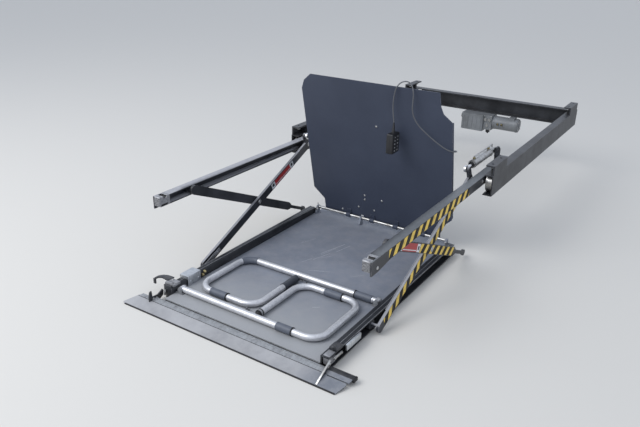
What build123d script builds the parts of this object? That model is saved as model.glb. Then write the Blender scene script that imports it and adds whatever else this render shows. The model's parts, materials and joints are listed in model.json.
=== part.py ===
from build123d import *
from math import asin, cos, degrees, pi, radians, sin, tan
import os

# Slide-out scissor lift for a wheelchair, stowed under a floor. Millimetres.
# X runs across the platform, Y inwards, Z up. The origin is the centre of the front
# bolts, on the top faces of the hangers. The lift is out and on the ground.

# Platform
clear_width = 840
platform_length = 1243
floor_below_mount = 490
platform_edge_y = -110
deck_thickness = 6
rib_height = 17
rib_width = 30
rib_count = 5
deck_lip = 54
side_rail_width = 40
side_rail_height = 56
side_rail_below_floor = 24
side_rail_wall = 5

# Scissor arms
arm_height = 46
arm_thickness = 12
arm_gap = 4
arm_side_room = 30
upper_half = 508
lower_half = 482
slim_end_height = 18
slim_end_length = 170
pivot_inset = 5
pin_radius = 10
pivot_pin_radius = 8
axle_radius = 9
stub_radius = 16
running_clearance = 0.06
roller_clearance = 0.4

# Carriage
upper_arm_top = 429
upper_arm_width = 42
upper_arm_height = 46
upper_arm_wall = 6
upper_arm_skirt = 14
upper_arm_reach = 1133
cap_length = 62
carriage_tail = 300
tail_length = 70

# Guide frame
guide_gap = 5
guide_width = 46
guide_height = 108
guide_wall = 6
guide_below_mount = 50
guide_front_y = -100
slide_travel = 1220
hanger_length = 190
hanger_thickness = 8
hanger_bolt_radius = 6.5
bolt_spacing_y = 120
crossmember_depth = 60

# Lift cylinders
lever_radius = 60
lever_gap = 5
lift_range = 54
barrel_radius = 21
barrel_length = 250
rod_radius = 8
eye_thickness = 10
eye_pin_radius = 7
eye_clearance = 4.6

# Bridge plate
plate_lean = 12.6
plate_height = 836
plate_half_width = 432
plate_top_half_width = 368
plate_thickness = 4
plate_foot_half_width = 366
plate_foot_height = 62
plate_low_corner = 128
plate_right_steps = ((18, 38), (5, 73))
plate_left_step = (20, 48)
plate_left_shoulder = 750
plate_right_shoulder = 690
flange_depth = 14
flange_thickness = 4
plate_hinge_height = 36
hinge_bar_radius = 8
knuckle_wall = 5
knuckle_length = 26
knuckle_places = (-200, -45, 105, 270)

# Cord of the hand control
cord_radius = 3
coil_x = 345
coil_height = 455
coil_radius = 33
coil_wall = 13
coil_depth = 19
coil_hook_radius = 4
plug_radius = 8
plug_length = 45

# Handrails
tube_radius = 15
tube_wall = 2.5
sleeve_radius = tube_radius + 3
handrail_pivot_x = 396
handrail_middle = platform_length - 295
handrail_depth = 355
handrail_spacing = 416
handrail_side_x = 352
handrail_leg_x = 25
handrail_bend = 75
leg_end_gap = 34
grip_radius = tube_radius + 2.5
grip_length = 88
cap_radius = tube_radius + 2
cap_depth = 14

# Outer ramp
ramp_half_width = 580
ramp_front_half_width = 557
ramp_length = 106
ramp_thickness = 5
ramp_hinge_offset = 12
ramp_hinge_drop = 9
ramp_rod_radius = 4
ramp_knuckle_radius = 7.5
ramp_lug_places = (-400, -200, 0, 200, 400)
ramp_lug_length = 40
ramp_knuckle_places = (-300, -100, 100, 300)
ramp_knuckle_length = 140
ground_below_floor = 28

# Places worked out from the sizes above
floor_z = -floor_below_mount
platform_end_y = platform_edge_y - platform_length
deck_half = clear_width / 2
side_rail_outer = deck_half + side_rail_width
inner_arm_x = side_rail_outer + arm_side_room
outer_arm_x = inner_arm_x + arm_thickness + arm_gap
upper_arm_x = outer_arm_x + arm_thickness + arm_gap
upper_arm_outer = upper_arm_x + upper_arm_width
guide_x = upper_arm_outer + guide_gap
guide_outer = guide_x + guide_width
rail_pin_z = floor_z - side_rail_below_floor + side_rail_height / 2
upper_pin_z = floor_z + upper_arm_top - upper_arm_height / 2
pivot_y = platform_edge_y + pivot_inset
lift_angle = degrees(asin((upper_pin_z - rail_pin_z) / (upper_half + lower_half)))
arm_run = cos(radians(lift_angle))
arm_drop = sin(radians(lift_angle))
cross_pin = (pivot_y - upper_half * arm_run, upper_pin_z - upper_half * arm_drop)
upper_roller = (pivot_y - 2 * upper_half * arm_run, upper_pin_z)
lower_roller = (pivot_y - (upper_half + lower_half) * arm_run, rail_pin_z)
platform_pin = (pivot_y - (upper_half - lower_half) * arm_run, rail_pin_z)
carriage_outer_y = platform_edge_y - upper_arm_reach
guide_z = -guide_below_mount - guide_height / 2
guide_length = carriage_tail + slide_travel + crossmember_depth + 20 - guide_front_y
guide_end_y = guide_front_y + guide_length
half_swing = radians(lift_range / 2)
rod_z = upper_pin_z + lever_radius * (1 + cos(half_swing)) / 2
eye_y = pivot_y - lever_radius * sin(half_swing)
eye_x = inner_arm_x - lever_gap - eye_thickness
rod_x = eye_x + eye_thickness / 2
barrel_front_y = pivot_y + lever_radius * sin(half_swing) + 30
handrail_z = floor_z + sleeve_radius + 0.3
plate_hinge_z = floor_z + plate_hinge_height

os.makedirs("parts", exist_ok=True)


def write(piece, name):
    piece.part.label = name
    export_step(piece.part, f"parts/{name}.step")


def write_pair(piece, name):
    """Write a right-hand piece and its mirror image on the left."""
    with BuildPart() as other:
        mirror(piece.part, about=Plane.YZ)
    write(piece, name + "_right")
    write(other, name + "_left")


def channel(x_low, z_middle, width, height, wall, opening):
    """A C section in the X and Z of a sketch, open towards opening (+1 or -1 in X)."""
    with Locations((x_low + width / 2, z_middle)):
        Rectangle(width, height)
    with Locations((x_low + width / 2 + opening * wall / 2, z_middle)):
        Rectangle(width - wall, height - 2 * wall, mode=Mode.SUBTRACT)


def disc(x_low, length, centre, radius, mode=Mode.ADD):
    """A round bar along X, with its centre given in Y and Z."""
    with BuildSketch(Plane.YZ.offset(x_low)) as section:
        with Locations(centre):
            Circle(radius)
    extrude(section.sketch, amount=length, mode=mode)


# Guide rail with its two hangers and their bolt holes
def hanger(y):
    with BuildSketch(Plane.XY.offset(-hanger_thickness)) as top:
        with Locations((guide_x + guide_width / 2, y)):
            Rectangle(guide_width, hanger_length)
        with Locations((guide_x + guide_width / 2, y - bolt_spacing_y / 2),
                       (guide_x + guide_width / 2, y + bolt_spacing_y / 2)):
            Circle(hanger_bolt_radius, mode=Mode.SUBTRACT)
    extrude(top.sketch, amount=hanger_thickness)
    with BuildSketch(Plane.XY.offset(-guide_below_mount)) as legs:
        with Locations((guide_outer - hanger_thickness / 2, y)):
            Rectangle(hanger_thickness, hanger_length)
        with Locations((guide_x + guide_width / 2, y)):
            Rectangle(guide_width, hanger_thickness)
    extrude(legs.sketch, amount=guide_below_mount - hanger_thickness)


rear_hanger_y = guide_end_y - hanger_length / 2 - 20
with BuildPart() as guide_rail:
    with BuildSketch(Plane.XZ.offset(-guide_end_y)):
        channel(guide_x, guide_z, guide_width, guide_height, guide_wall, -1)
    extrude(amount=guide_length)
    hanger(0)
    hanger(rear_hanger_y)
write_pair(guide_rail, "guide_rail")

# Rear crossmember, a channel that closes the guide frame
with BuildPart() as crossmember:
    with BuildSketch(Plane.YZ.offset(-guide_x)):
        with Locations((guide_end_y - crossmember_depth / 2, guide_z)):
            Rectangle(crossmember_depth, guide_height)
        with Locations((guide_end_y - crossmember_depth / 2 - guide_wall / 2, guide_z)):
            Rectangle(crossmember_depth - guide_wall, guide_height - 2 * guide_wall, mode=Mode.SUBTRACT)
    extrude(amount=2 * guide_x)
write(crossmember, "rear_crossmember")

# Hydraulic power pack under the crossmember: tank, pump block and motor
pack_width = 330
pack_depth = 150
tank_height = 120
motor_radius = 48
motor_length = 190
pack_top = guide_z - guide_height / 2
pack_y = guide_end_y - pack_depth / 2
with BuildPart() as power_pack:
    with BuildSketch(Plane.XY.offset(pack_top)):
        with Locations((-pack_width / 4, pack_y)):
            RectangleRounded(pack_width / 2, pack_depth, 12)
    extrude(amount=-tank_height)
    with BuildSketch(Plane.XY.offset(pack_top)):
        with Locations((pack_width / 12, pack_y)):
            Rectangle(pack_width / 6 + 10, pack_depth * 0.7)
    extrude(amount=-tank_height * 0.9)
    disc(pack_width / 6, motor_length, (pack_y, pack_top - motor_radius - 8), motor_radius)
    with BuildSketch(Plane.XY.offset(pack_top)):
        with Locations((pack_width / 6 + motor_length * 0.75, pack_y)):
            Rectangle(40, 60)
    extrude(amount=-motor_radius)
write(power_pack, "power_pack")

# Upper arm, a channel open towards the platform, with the block that the scissor hangs from
track_height = upper_arm_height - 2 * upper_arm_wall
with BuildPart() as upper_arm:
    with BuildSketch(Plane.XZ.offset(-carriage_tail)):
        channel(upper_arm_x, upper_pin_z, upper_arm_width, upper_arm_height, upper_arm_wall, -1)
    extrude(amount=carriage_tail - carriage_outer_y - cap_length)
    with BuildSketch(Plane.XZ.offset(-carriage_tail)):
        with Locations((upper_arm_outer - upper_arm_wall / 2, upper_pin_z - upper_arm_skirt / 2)):
            Rectangle(upper_arm_wall, upper_arm_height + upper_arm_skirt)
    extrude(amount=carriage_tail - carriage_outer_y)
    with BuildSketch(Plane.YZ.offset(upper_arm_x)):
        with Locations((pivot_y, upper_pin_z)):
            Rectangle(56, track_height)
    extrude(amount=upper_arm_width - upper_arm_wall)
    disc(upper_arm_x, 32, (pivot_y, upper_pin_z), pivot_pin_radius + running_clearance, Mode.SUBTRACT)
write_pair(upper_arm, "upper_arm")

# Cast end cap with the half-round notch that the platform's hook catches
cap_notch_radius = 11
cap_width = upper_arm_width - upper_arm_wall
with BuildPart() as arm_cap:
    with BuildSketch(Plane.YZ.offset(upper_arm_x)):
        with Locations((carriage_outer_y + cap_length / 2, upper_pin_z)):
            Rectangle(cap_length, upper_arm_height)
        with Locations((carriage_outer_y + cap_length * 0.55, upper_pin_z + upper_arm_height / 2)):
            Circle(cap_notch_radius, mode=Mode.SUBTRACT)
    extrude(amount=cap_width)
    fillet(arm_cap.faces().sort_by(Axis.Y)[0].edges(), 5)
write_pair(arm_cap, "arm_cap")

# Guide rollers on the outer side of each upper arm
guide_roller_radius = guide_height / 2 - guide_wall - roller_clearance
with BuildPart() as guide_rollers:
    for y in (guide_front_y + 60, carriage_tail - 60):
        disc(upper_arm_outer, guide_width - guide_wall - 2, (y, guide_z), 12)
        disc(guide_x + 4, guide_width - guide_wall - 8, (y, guide_z), guide_roller_radius)
write_pair(guide_rollers, "guide_rollers")

# Tail block of each arm, with the ear and pin that hold the lift cylinder
tail_y = carriage_tail - tail_length
ear_x = rod_x + 20
with BuildPart() as arm_tail:
    with BuildSketch(Plane.YZ.offset(ear_x)):
        with BuildLine():
            Polyline((tail_y, rod_z + 22), (tail_y, rod_z - 22), (tail_y + 20, upper_pin_z - 28),
                     (carriage_tail, upper_pin_z - 28), (carriage_tail, rod_z), (carriage_tail - 30, rod_z + 22),
                     close=True)
        make_face()
    extrude(amount=10)
    with BuildSketch(Plane.YZ.offset(ear_x)):
        with Locations((carriage_tail - 12, upper_pin_z)):
            Rectangle(24, upper_arm_height)
    extrude(amount=upper_arm_x - ear_x)
    disc(rod_x - 18, ear_x + 30 - rod_x, (tail_y + 22, rod_z), 9)
    disc(rod_x - 18, 3, (tail_y + 22, rod_z), 13)
write_pair(arm_tail, "arm_tail")

# Lift cylinder: barrel with its gland and rear eye
barrel_end_y = barrel_front_y + barrel_length
with BuildPart() as lift_cylinder:
    with BuildSketch(Plane.XZ.offset(-barrel_end_y)):
        with Locations((rod_x, rod_z)):
            Circle(barrel_radius)
    extrude(amount=barrel_length)
    with BuildSketch(Plane.XZ.offset(-barrel_front_y)):
        with Locations((rod_x, rod_z)):
            Circle(barrel_radius - 4)
    extrude(amount=8)
    with BuildSketch(Plane.XZ.offset(-barrel_front_y + 8)):
        with Locations((rod_x, rod_z)):
            Circle(rod_radius + 0.05)
    extrude(amount=-(barrel_length - 20), mode=Mode.SUBTRACT)
    disc(rod_x - 12, 24, (tail_y + 22, rod_z), 17)
    with BuildSketch(Plane.XZ.offset(-tail_y - 10)):
        with Locations((rod_x, rod_z)):
            Circle(14)
    extrude(amount=tail_y + 10 - barrel_end_y)
    disc(rod_x - 13, 26, (tail_y + 22, rod_z), 9 + running_clearance, Mode.SUBTRACT)
    for y in (barrel_front_y + 22, barrel_end_y - 22):
        with BuildSketch(Plane.XY.offset(rod_z + barrel_radius - 3)):
            with Locations((rod_x, y)):
                Circle(7)
        extrude(amount=8)
write_pair(lift_cylinder, "lift_cylinder")

# Piston rod with its eye
with BuildPart() as cylinder_rod:
    with BuildSketch(Plane.XZ.offset(-(barrel_front_y + 90))):
        with Locations((rod_x, rod_z)):
            Circle(rod_radius)
    extrude(amount=barrel_front_y + 90 - eye_y - 14)
    disc(eye_x, eye_thickness, (eye_y, rod_z), eye_pin_radius + eye_clearance + 6)
    disc(eye_x - 1, eye_thickness + 2, (eye_y, rod_z), eye_pin_radius + eye_clearance, Mode.SUBTRACT)
write_pair(cylinder_rod, "cylinder_rod")

# Inner scissor arm: flat bar with its lever, pins and the roller that runs in the side rail
side_track = side_rail_height - 2 * side_rail_wall
lever_turn = 90 + lift_range / 2
lever_tip = (pivot_y - lever_radius * sin(half_swing), upper_pin_z + lever_radius * cos(half_swing))
inner_middle = ((pivot_y + lower_roller[0]) / 2, (upper_pin_z + rail_pin_z) / 2)
with BuildPart() as inner_arm:
    with BuildSketch(Plane.YZ.offset(inner_arm_x)):
        with Locations(inner_middle):
            SlotCenterToCenter(upper_half + lower_half, arm_height, rotation=lift_angle)
        with Locations(((pivot_y + lever_tip[0]) / 2, (upper_pin_z + lever_tip[1]) / 2)):
            SlotCenterToCenter(lever_radius, 34, rotation=lever_turn)
    extrude(amount=arm_thickness)
    disc(inner_arm_x + arm_thickness, arm_gap + arm_thickness + 1, cross_pin, pin_radius)
    disc(inner_arm_x + arm_thickness, arm_gap - 0.5, cross_pin, pin_radius + 6)
    disc(inner_arm_x - 3, 3, cross_pin, pin_radius + 5)
    disc(inner_arm_x + arm_thickness, upper_arm_x + 28 - inner_arm_x - arm_thickness,
         (pivot_y, upper_pin_z), pivot_pin_radius)
    disc(eye_x - 3, inner_arm_x - eye_x + 3, lever_tip, eye_pin_radius)
    disc(side_rail_outer - 6, inner_arm_x - side_rail_outer + 6, lower_roller, axle_radius)
    disc(deck_half + side_rail_wall + 2, side_rail_width - side_rail_wall - 6, lower_roller,
         side_track / 2 - roller_clearance)
write_pair(inner_arm, "inner_arm")

# Outer scissor arm: flat bar with the roller that runs in the upper arm
bar_end = (platform_pin[0] - slim_end_length * arm_run, platform_pin[1] + slim_end_length * arm_drop)
bar_middle = ((upper_roller[0] + bar_end[0]) / 2, (upper_roller[1] + bar_end[1]) / 2)
slim_middle = ((platform_pin[0] + bar_end[0]) / 2, (platform_pin[1] + bar_end[1]) / 2)
with BuildPart() as outer_arm:
    with BuildSketch(Plane.YZ.offset(outer_arm_x)):
        with Locations(bar_middle):
            SlotCenterToCenter(upper_half + lower_half - slim_end_length, arm_height, rotation=-lift_angle)
        with Locations(slim_middle):
            SlotCenterToCenter(slim_end_length, slim_end_height, rotation=-lift_angle)
        with Locations(platform_pin):
            Circle(stub_radius)
        with Locations(cross_pin):
            Circle(pin_radius + running_clearance, mode=Mode.SUBTRACT)
    extrude(amount=arm_thickness)
    disc(outer_arm_x + arm_thickness, upper_arm_x - outer_arm_x - arm_thickness + 6, upper_roller, axle_radius)
    disc(upper_arm_x + 3, upper_arm_width - upper_arm_wall - 6, upper_roller, track_height / 2 - roller_clearance)
    disc(outer_arm_x - 3, 3, platform_pin, pin_radius + 4)
write_pair(outer_arm, "outer_arm")

# Deck, a tray of sheet on cross ribs
rib_spacing = (platform_length - 120) / (rib_count - 1)
deck_inner_y = platform_edge_y - 14
with BuildPart() as deck:
    with BuildSketch(Plane.XY.offset(floor_z - deck_thickness)):
        with Locations((0, (deck_inner_y + platform_end_y) / 2)):
            Rectangle(clear_width - 0.6, deck_inner_y - platform_end_y)
    extrude(amount=deck_thickness)
    with BuildSketch(Plane.XY.offset(floor_z - deck_thickness)):
        with Locations((0, (deck_inner_y + platform_edge_y + deck_lip) / 2)):
            Rectangle(clear_width - 0.6, platform_edge_y + deck_lip - deck_inner_y)
    extrude(amount=deck_thickness)
    with BuildSketch(Plane.XY.offset(floor_z - deck_thickness)):
        with Locations((0, (deck_inner_y + platform_end_y) / 2)):
            with GridLocations(0, rib_spacing, 1, rib_count):
                Rectangle(clear_width - 0.6, rib_width)
    extrude(amount=-rib_height)
write(deck, "deck")

# Side rail, a channel open outwards, with the stub that the outer arm's pin comes to
with BuildPart() as side_rail:
    with BuildSketch(Plane.XZ.offset(-deck_inner_y)):
        channel(deck_half, rail_pin_z, side_rail_width, side_rail_height, side_rail_wall, 1)
    extrude(amount=deck_inner_y - platform_end_y)
    disc(deck_half + side_rail_wall, side_rail_width - side_rail_wall + 2, platform_pin, stub_radius)
write_pair(side_rail, "side_rail")

# Hinge bar across the inner edge, held by two end brackets
bar_left = -404
bar_right = 404
bracket_width = 12
inner_bracket_places = (-122, 188)
with BuildPart() as hinge_bar:
    disc(bar_left, bar_right - bar_left, (platform_edge_y, plate_hinge_z), hinge_bar_radius)
write(hinge_bar, "hinge_bar")
bracket_foot = 26
with BuildPart() as bar_brackets:
    for x in (bar_left - bracket_width, bar_right, *inner_bracket_places):
        with BuildSketch(Plane.YZ.offset(x)):
            with BuildLine():
                Polyline((platform_edge_y - bracket_foot, floor_z), (platform_edge_y + 9, floor_z),
                         (platform_edge_y + 9, plate_hinge_z + 9), (platform_edge_y - 9, plate_hinge_z + 9),
                         (platform_edge_y - bracket_foot, floor_z + 8), close=True)
            make_face()
            if bar_left < x < bar_right:
                with Locations((platform_edge_y, plate_hinge_z)):
                    Circle(hinge_bar_radius, mode=Mode.SUBTRACT)
        extrude(amount=bracket_width)
write(bar_brackets, "hinge_brackets")

# Plate and its knuckles are drawn upright about the hinge, then leaned on to the stop
hinge_axis = Axis((0, platform_edge_y, plate_hinge_z), (1, 0, 0))
knuckle_radius = hinge_bar_radius + knuckle_wall
plate_face = platform_edge_y + knuckle_radius
with BuildPart() as plate_blank:
    with BuildSketch(Plane.XZ.offset(-plate_face)):
        with BuildLine():
            Polyline((-plate_foot_half_width, plate_hinge_z - 8), (plate_foot_half_width, plate_hinge_z - 8),
                     (plate_foot_half_width, plate_hinge_z + plate_foot_height),
                     (plate_half_width, plate_hinge_z + plate_low_corner),
                     (plate_half_width, plate_hinge_z + plate_right_shoulder),
                     *[(plate_top_half_width + x, plate_hinge_z + plate_right_shoulder + z)
                       for x, z in plate_right_steps],
                     (plate_top_half_width, plate_hinge_z + plate_height),
                     (-plate_top_half_width, plate_hinge_z + plate_height),
                     (-plate_half_width + plate_left_step[0],
                      plate_hinge_z + plate_left_shoulder + plate_left_step[1]),
                     (-plate_half_width, plate_hinge_z + plate_left_shoulder),
                     (-plate_half_width, plate_hinge_z + plate_low_corner),
                     (-plate_foot_half_width, plate_hinge_z + plate_foot_height), close=True)
        make_face()
        with Locations(*[(x + bracket_width / 2, plate_hinge_z) for x in inner_bracket_places]):
            Rectangle(bracket_width + 6, 24, mode=Mode.SUBTRACT)
    extrude(amount=-plate_thickness)
    with BuildSketch(Plane.XZ.offset(-plate_face - plate_thickness)):
        with Locations((plate_half_width - flange_thickness / 2,
                        plate_hinge_z + (plate_low_corner + plate_right_shoulder) / 2)):
            Rectangle(flange_thickness, plate_right_shoulder - plate_low_corner - 10)
    extrude(amount=-flange_depth)
with BuildPart() as bridge_plate:
    add(plate_blank.part.rotate(hinge_axis, plate_lean))
write(bridge_plate, "bridge_plate")
with BuildPart() as knuckle_blank:
    for x in knuckle_places:
        disc(x - knuckle_length / 2, knuckle_length, (platform_edge_y, plate_hinge_z), knuckle_radius)
        with BuildSketch(Plane.XZ.offset(-plate_face)):
            with Locations((x, plate_hinge_z + 14)):
                Rectangle(knuckle_length, 40)
        extrude(amount=4)
    for x in knuckle_places:
        disc(x - knuckle_length, 2 * knuckle_length, (platform_edge_y, plate_hinge_z),
             hinge_bar_radius + running_clearance, Mode.SUBTRACT)
with BuildPart() as plate_knuckles:
    add(knuckle_blank.part.rotate(hinge_axis, plate_lean))
write(plate_knuckles, "plate_knuckles")

# Hand control, which hangs by its cord over the plate's top edge and shows its keys to the right
pendant_x = 141
pendant_y = -285
pendant_low = 32
pendant_size = (38, 75, 102)
boot_length = 54
with BuildPart() as pendant:
    with BuildSketch(Plane.XY.offset(pendant_low)):
        with Locations((pendant_x, pendant_y)):
            RectangleRounded(pendant_size[0], pendant_size[1], 5)
    extrude(amount=pendant_size[2])
    fillet(pendant.faces().sort_by(Axis.Z)[-1].edges(), 3)
    with BuildSketch(Plane.XY.offset(pendant_low + pendant_size[2])):
        with Locations((pendant_x, pendant_y)):
            Circle(8)
    with BuildSketch(Plane.XY.offset(pendant_low + pendant_size[2] + boot_length)):
        with Locations((pendant_x, pendant_y)):
            Circle(cord_radius + 1.2)
    loft()
write(pendant, "pendant")

# Cord of the hand control: over the plate's top edge, down, round its right edge and to the coil
cord_route = [
    (141, -285, 188), (134, -285, 228), (130, -285, 266), (131, -286, 304), (138, -290, 340),
    (148, -293, 368), (163, -284, 389), (187, -275, 397), (211, -274, 391), (230, -286, 373),
    (240, -294, 344), (238, -291, 304), (235, -287, 263), (247, -282, 223), (270, -276, 190),
    (302, -267, 161), (336, -258, 133), (369, -249, 110), (399, -242, 91), (428, -234, 79),
    (443, -217, 74), (446, -194, 70), (438, -173, 66), (420, -160, 61), (398, -158, 54),
    (375, -169, 43), (345, -184, 31),
]


def bend_radii(route):
    """The largest radius that the two runs beside each corner leave room for."""
    corners = [Vector(*point) for point in route]
    radii = []
    for before, corner, after in zip(corners, corners[1:], corners[2:]):
        turn = radians((corner - before).get_angle(after - corner))
        radii.append(0.45 * min((corner - before).length, (after - corner).length) / tan(turn / 2))
    return radii


cord_radii = bend_radii(cord_route)
with BuildPart() as pendant_cord:
    with BuildLine() as cord_line:
        FilletPolyline(*cord_route, radius=cord_radii)
    with BuildSketch(cord_line.line ^ 0):
        Circle(cord_radius)
    sweep()
print("cord radii", [round(radius) for radius in cord_radii])
cord_length = sum(edge.length for edge in cord_line.edges())
print("cord length", round(cord_length), "volume ratio",
      round(pendant_cord.part.volume / (cord_length * pi * cord_radius ** 2), 3))
write(pendant_cord, "pendant_cord")

# Coil of the rest of the cord behind the plate, its connector and the hook that holds it
plate_back = plate_face + plate_thickness
coil_z = plate_hinge_z + coil_height
with BuildPart() as coil_blank:
    with BuildSketch(Plane.XZ.offset(-plate_back - 0.3)):
        with Locations((coil_x, coil_z)):
            Circle(coil_radius + coil_wall / 2)
            Circle(coil_radius - coil_wall / 2, mode=Mode.SUBTRACT)
    extrude(amount=-coil_depth)
with BuildPart() as cord_coil:
    add(coil_blank.part.rotate(hinge_axis, plate_lean))
write(cord_coil, "cord_coil")
plug_y = plate_back + plug_radius + 0.3
plug_x = coil_x - coil_radius - plug_radius
plug_top = coil_z - 12
with BuildPart() as plug_blank:
    with BuildSketch(Plane.XY.offset(plug_top)):
        with Locations((plug_x, plug_y)):
            Circle(cord_radius + 1)
    with BuildSketch(Plane.XY.offset(plug_top - 26)):
        with Locations((plug_x, plug_y)):
            Circle(plug_radius - 1.5)
    loft()
    with BuildSketch(Plane.XY.offset(plug_top - 26)):
        with Locations((plug_x, plug_y)):
            Circle(plug_radius)
    extrude(amount=-plug_length)
with BuildPart() as cord_plug:
    add(plug_blank.part.rotate(hinge_axis, plate_lean))
write(cord_plug, "cord_plug")
hook_z = coil_z + coil_radius - coil_wall / 2 - coil_hook_radius - 0.3
with BuildPart() as hook_blank:
    with BuildSketch(Plane.XZ.offset(-plate_back)):
        with Locations((coil_x, hook_z)):
            Circle(coil_hook_radius)
    extrude(amount=-coil_depth - 5)
    with BuildSketch(Plane.XZ.offset(-plate_back - coil_depth - 2)):
        with Locations((coil_x, hook_z + coil_wall / 4)):
            RectangleRounded(2 * coil_hook_radius, coil_wall / 2 + 2 * coil_hook_radius, coil_hook_radius - 0.5)
    extrude(amount=-3)
with BuildPart() as cord_hook:
    add(hook_blank.part.rotate(hinge_axis, plate_lean))
write(cord_hook, "cord_hook")

# Hinge of the outer ramp: a rod carried by lugs on the deck's outer edge
ramp_hinge_y = platform_end_y - ramp_hinge_offset
ramp_hinge_z = floor_z - ramp_hinge_drop
with BuildPart() as ramp_hinge:
    disc(-deck_half - 5, clear_width + 10, (ramp_hinge_y, ramp_hinge_z), ramp_rod_radius)
    for x in ramp_lug_places:
        disc(x - ramp_lug_length / 2, ramp_lug_length, (ramp_hinge_y, ramp_hinge_z), ramp_knuckle_radius)
        with BuildSketch(Plane.YZ.offset(x - ramp_lug_length / 2)):
            with Locations(((platform_end_y + ramp_hinge_y) / 2, ramp_hinge_z)):
                Rectangle(ramp_hinge_offset, 6)
        extrude(amount=ramp_lug_length)
        with BuildSketch(Plane.YZ.offset(x - ramp_lug_length / 2)):
            with Locations((platform_end_y + 12, floor_z - deck_thickness - 3)):
                Rectangle(24.6, 6)
        extrude(amount=ramp_lug_length)
write(ramp_hinge, "ramp_hinge")

# Ramp along the outer edge, which stands up as the roll stop
ramp_end_y = platform_end_y - ramp_length
ramp_inner_y = ramp_hinge_y - ramp_knuckle_radius - 1.5
slit_y = platform_end_y - 42
slit_width = 7
slit_end_x = side_rail_outer + 15
ramp_depth = 60
with BuildPart() as ramp:
    with BuildSketch(Plane.YZ.offset(-ramp_half_width)):
        with BuildLine():
            Polyline((ramp_inner_y, floor_z - 2), (ramp_end_y, floor_z - ground_below_floor + 3),
                     (ramp_end_y, floor_z - ground_below_floor), (ramp_end_y + 30, floor_z - ground_below_floor),
                     (ramp_inner_y, floor_z - 2 - ramp_thickness), close=True)
        make_face()
    extrude(amount=2 * ramp_half_width)
    with BuildSketch(Plane.XY.offset(floor_z - ramp_depth)):
        with BuildLine():
            Polyline((-ramp_half_width, platform_end_y), (ramp_half_width, platform_end_y),
                     (ramp_half_width, slit_y + slit_width), (slit_end_x, slit_y + slit_width),
                     (slit_end_x, slit_y), (ramp_half_width - 6, slit_y),
                     (ramp_front_half_width, ramp_end_y), (-ramp_front_half_width, ramp_end_y),
                     (-ramp_half_width + 6, slit_y), (-slit_end_x, slit_y),
                     (-slit_end_x, slit_y + slit_width), (-ramp_half_width, slit_y + slit_width), close=True)
        make_face()
    extrude(amount=ramp_depth, mode=Mode.INTERSECT)
    for x in ramp_knuckle_places:
        disc(x - ramp_knuckle_length / 2, ramp_knuckle_length, (ramp_hinge_y, ramp_hinge_z), ramp_knuckle_radius)
        with BuildSketch(Plane.YZ.offset(x - ramp_knuckle_length / 2)):
            with BuildLine():
                Polyline((ramp_hinge_y, ramp_hinge_z + ramp_knuckle_radius), (ramp_inner_y - 4, floor_z - 3),
                         (ramp_inner_y - 4, floor_z - 7), (ramp_hinge_y, ramp_hinge_z), close=True)
            make_face()
        extrude(amount=ramp_knuckle_length)
        disc(x - ramp_knuckle_length / 2, ramp_knuckle_length, (ramp_hinge_y, ramp_hinge_z),
             ramp_rod_radius + running_clearance, Mode.SUBTRACT)
write(ramp, "ramp")

# Lever plate at each end of the ramp, outside the side rails
with BuildPart() as ramp_lever:
    with BuildSketch(Plane.YZ.offset(side_rail_outer + 5)):
        with BuildLine():
            Polyline((ramp_hinge_y + 26, floor_z + 34), (ramp_hinge_y + 8, floor_z + 38),
                     (ramp_hinge_y - 26, floor_z + 2), (ramp_end_y + 14, floor_z - 19.5),
                     (ramp_inner_y, floor_z - 1.7), (ramp_hinge_y, floor_z - 3), close=True)
        make_face()
        with Locations((ramp_hinge_y + 12, floor_z + 26)):
            Circle(5, mode=Mode.SUBTRACT)
    extrude(amount=6)
write_pair(ramp_lever, "ramp_lever")

# Latch at each outer corner: a bracket on the rail and a hook in line with the arm's cap
latch_y = platform_end_y + 70
hook_x = upper_arm_x + cap_width / 2
with BuildPart() as latch:
    with BuildSketch(Plane.YZ.offset(side_rail_outer)):
        with Locations((latch_y, rail_pin_z + 6)):
            RectangleRounded(52, 44, 6)
    extrude(amount=10)
    disc(side_rail_outer + 10, hook_x - side_rail_outer - 15, (latch_y - 8, floor_z + 18), 8)
    with BuildSketch(Plane.YZ.offset(hook_x - 5)):
        with BuildLine():
            Polyline((latch_y - 18, floor_z + 8), (latch_y + 4, floor_z + 8), (latch_y + 4, floor_z + 34),
                     (latch_y + 18, floor_z + 36), (latch_y + 20, floor_z + 26), (latch_y + 29, floor_z + 26),
                     (latch_y + 29, floor_z + 44), (latch_y + 20, floor_z + 50), (latch_y - 6, floor_z + 50),
                     (latch_y - 18, floor_z + 36), close=True)
        make_face()
    extrude(amount=10)
write_pair(latch, "latch")

# Light metal cover over the outer end of the left side rail
rail_top = rail_pin_z + side_rail_height / 2
cover_wall = 8
cover_y = platform_end_y + 118
cover_length = 154
with BuildPart() as rail_box:
    with BuildSketch(Plane.XZ.offset(-cover_y - cover_length)):
        with BuildLine():
            Polyline((-side_rail_outer, rail_top), (-side_rail_outer, rail_top + cover_wall),
                     (-deck_half + cover_wall, rail_top + cover_wall), (-deck_half + cover_wall, floor_z),
                     (-deck_half, floor_z), (-deck_half, rail_top), close=True)
        make_face()
    extrude(amount=cover_length)
write(rail_box, "rail_box")

# Handrails: a bent tube each, folded flat on the deck and nested head to tail
handrail_front_y = platform_edge_y - handrail_middle - handrail_spacing / 2
handrail_rear_y = platform_edge_y - handrail_middle + handrail_spacing / 2


def tube_path(side, y, turn):
    return FilletPolyline(
        (-side * (handrail_pivot_x - 20), y), (side * handrail_side_x, y),
        (side * handrail_side_x, y + turn * handrail_depth), (side * handrail_leg_x, y + turn * handrail_depth),
        (side * handrail_leg_x, y + turn * leg_end_gap), radius=handrail_bend)


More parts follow.
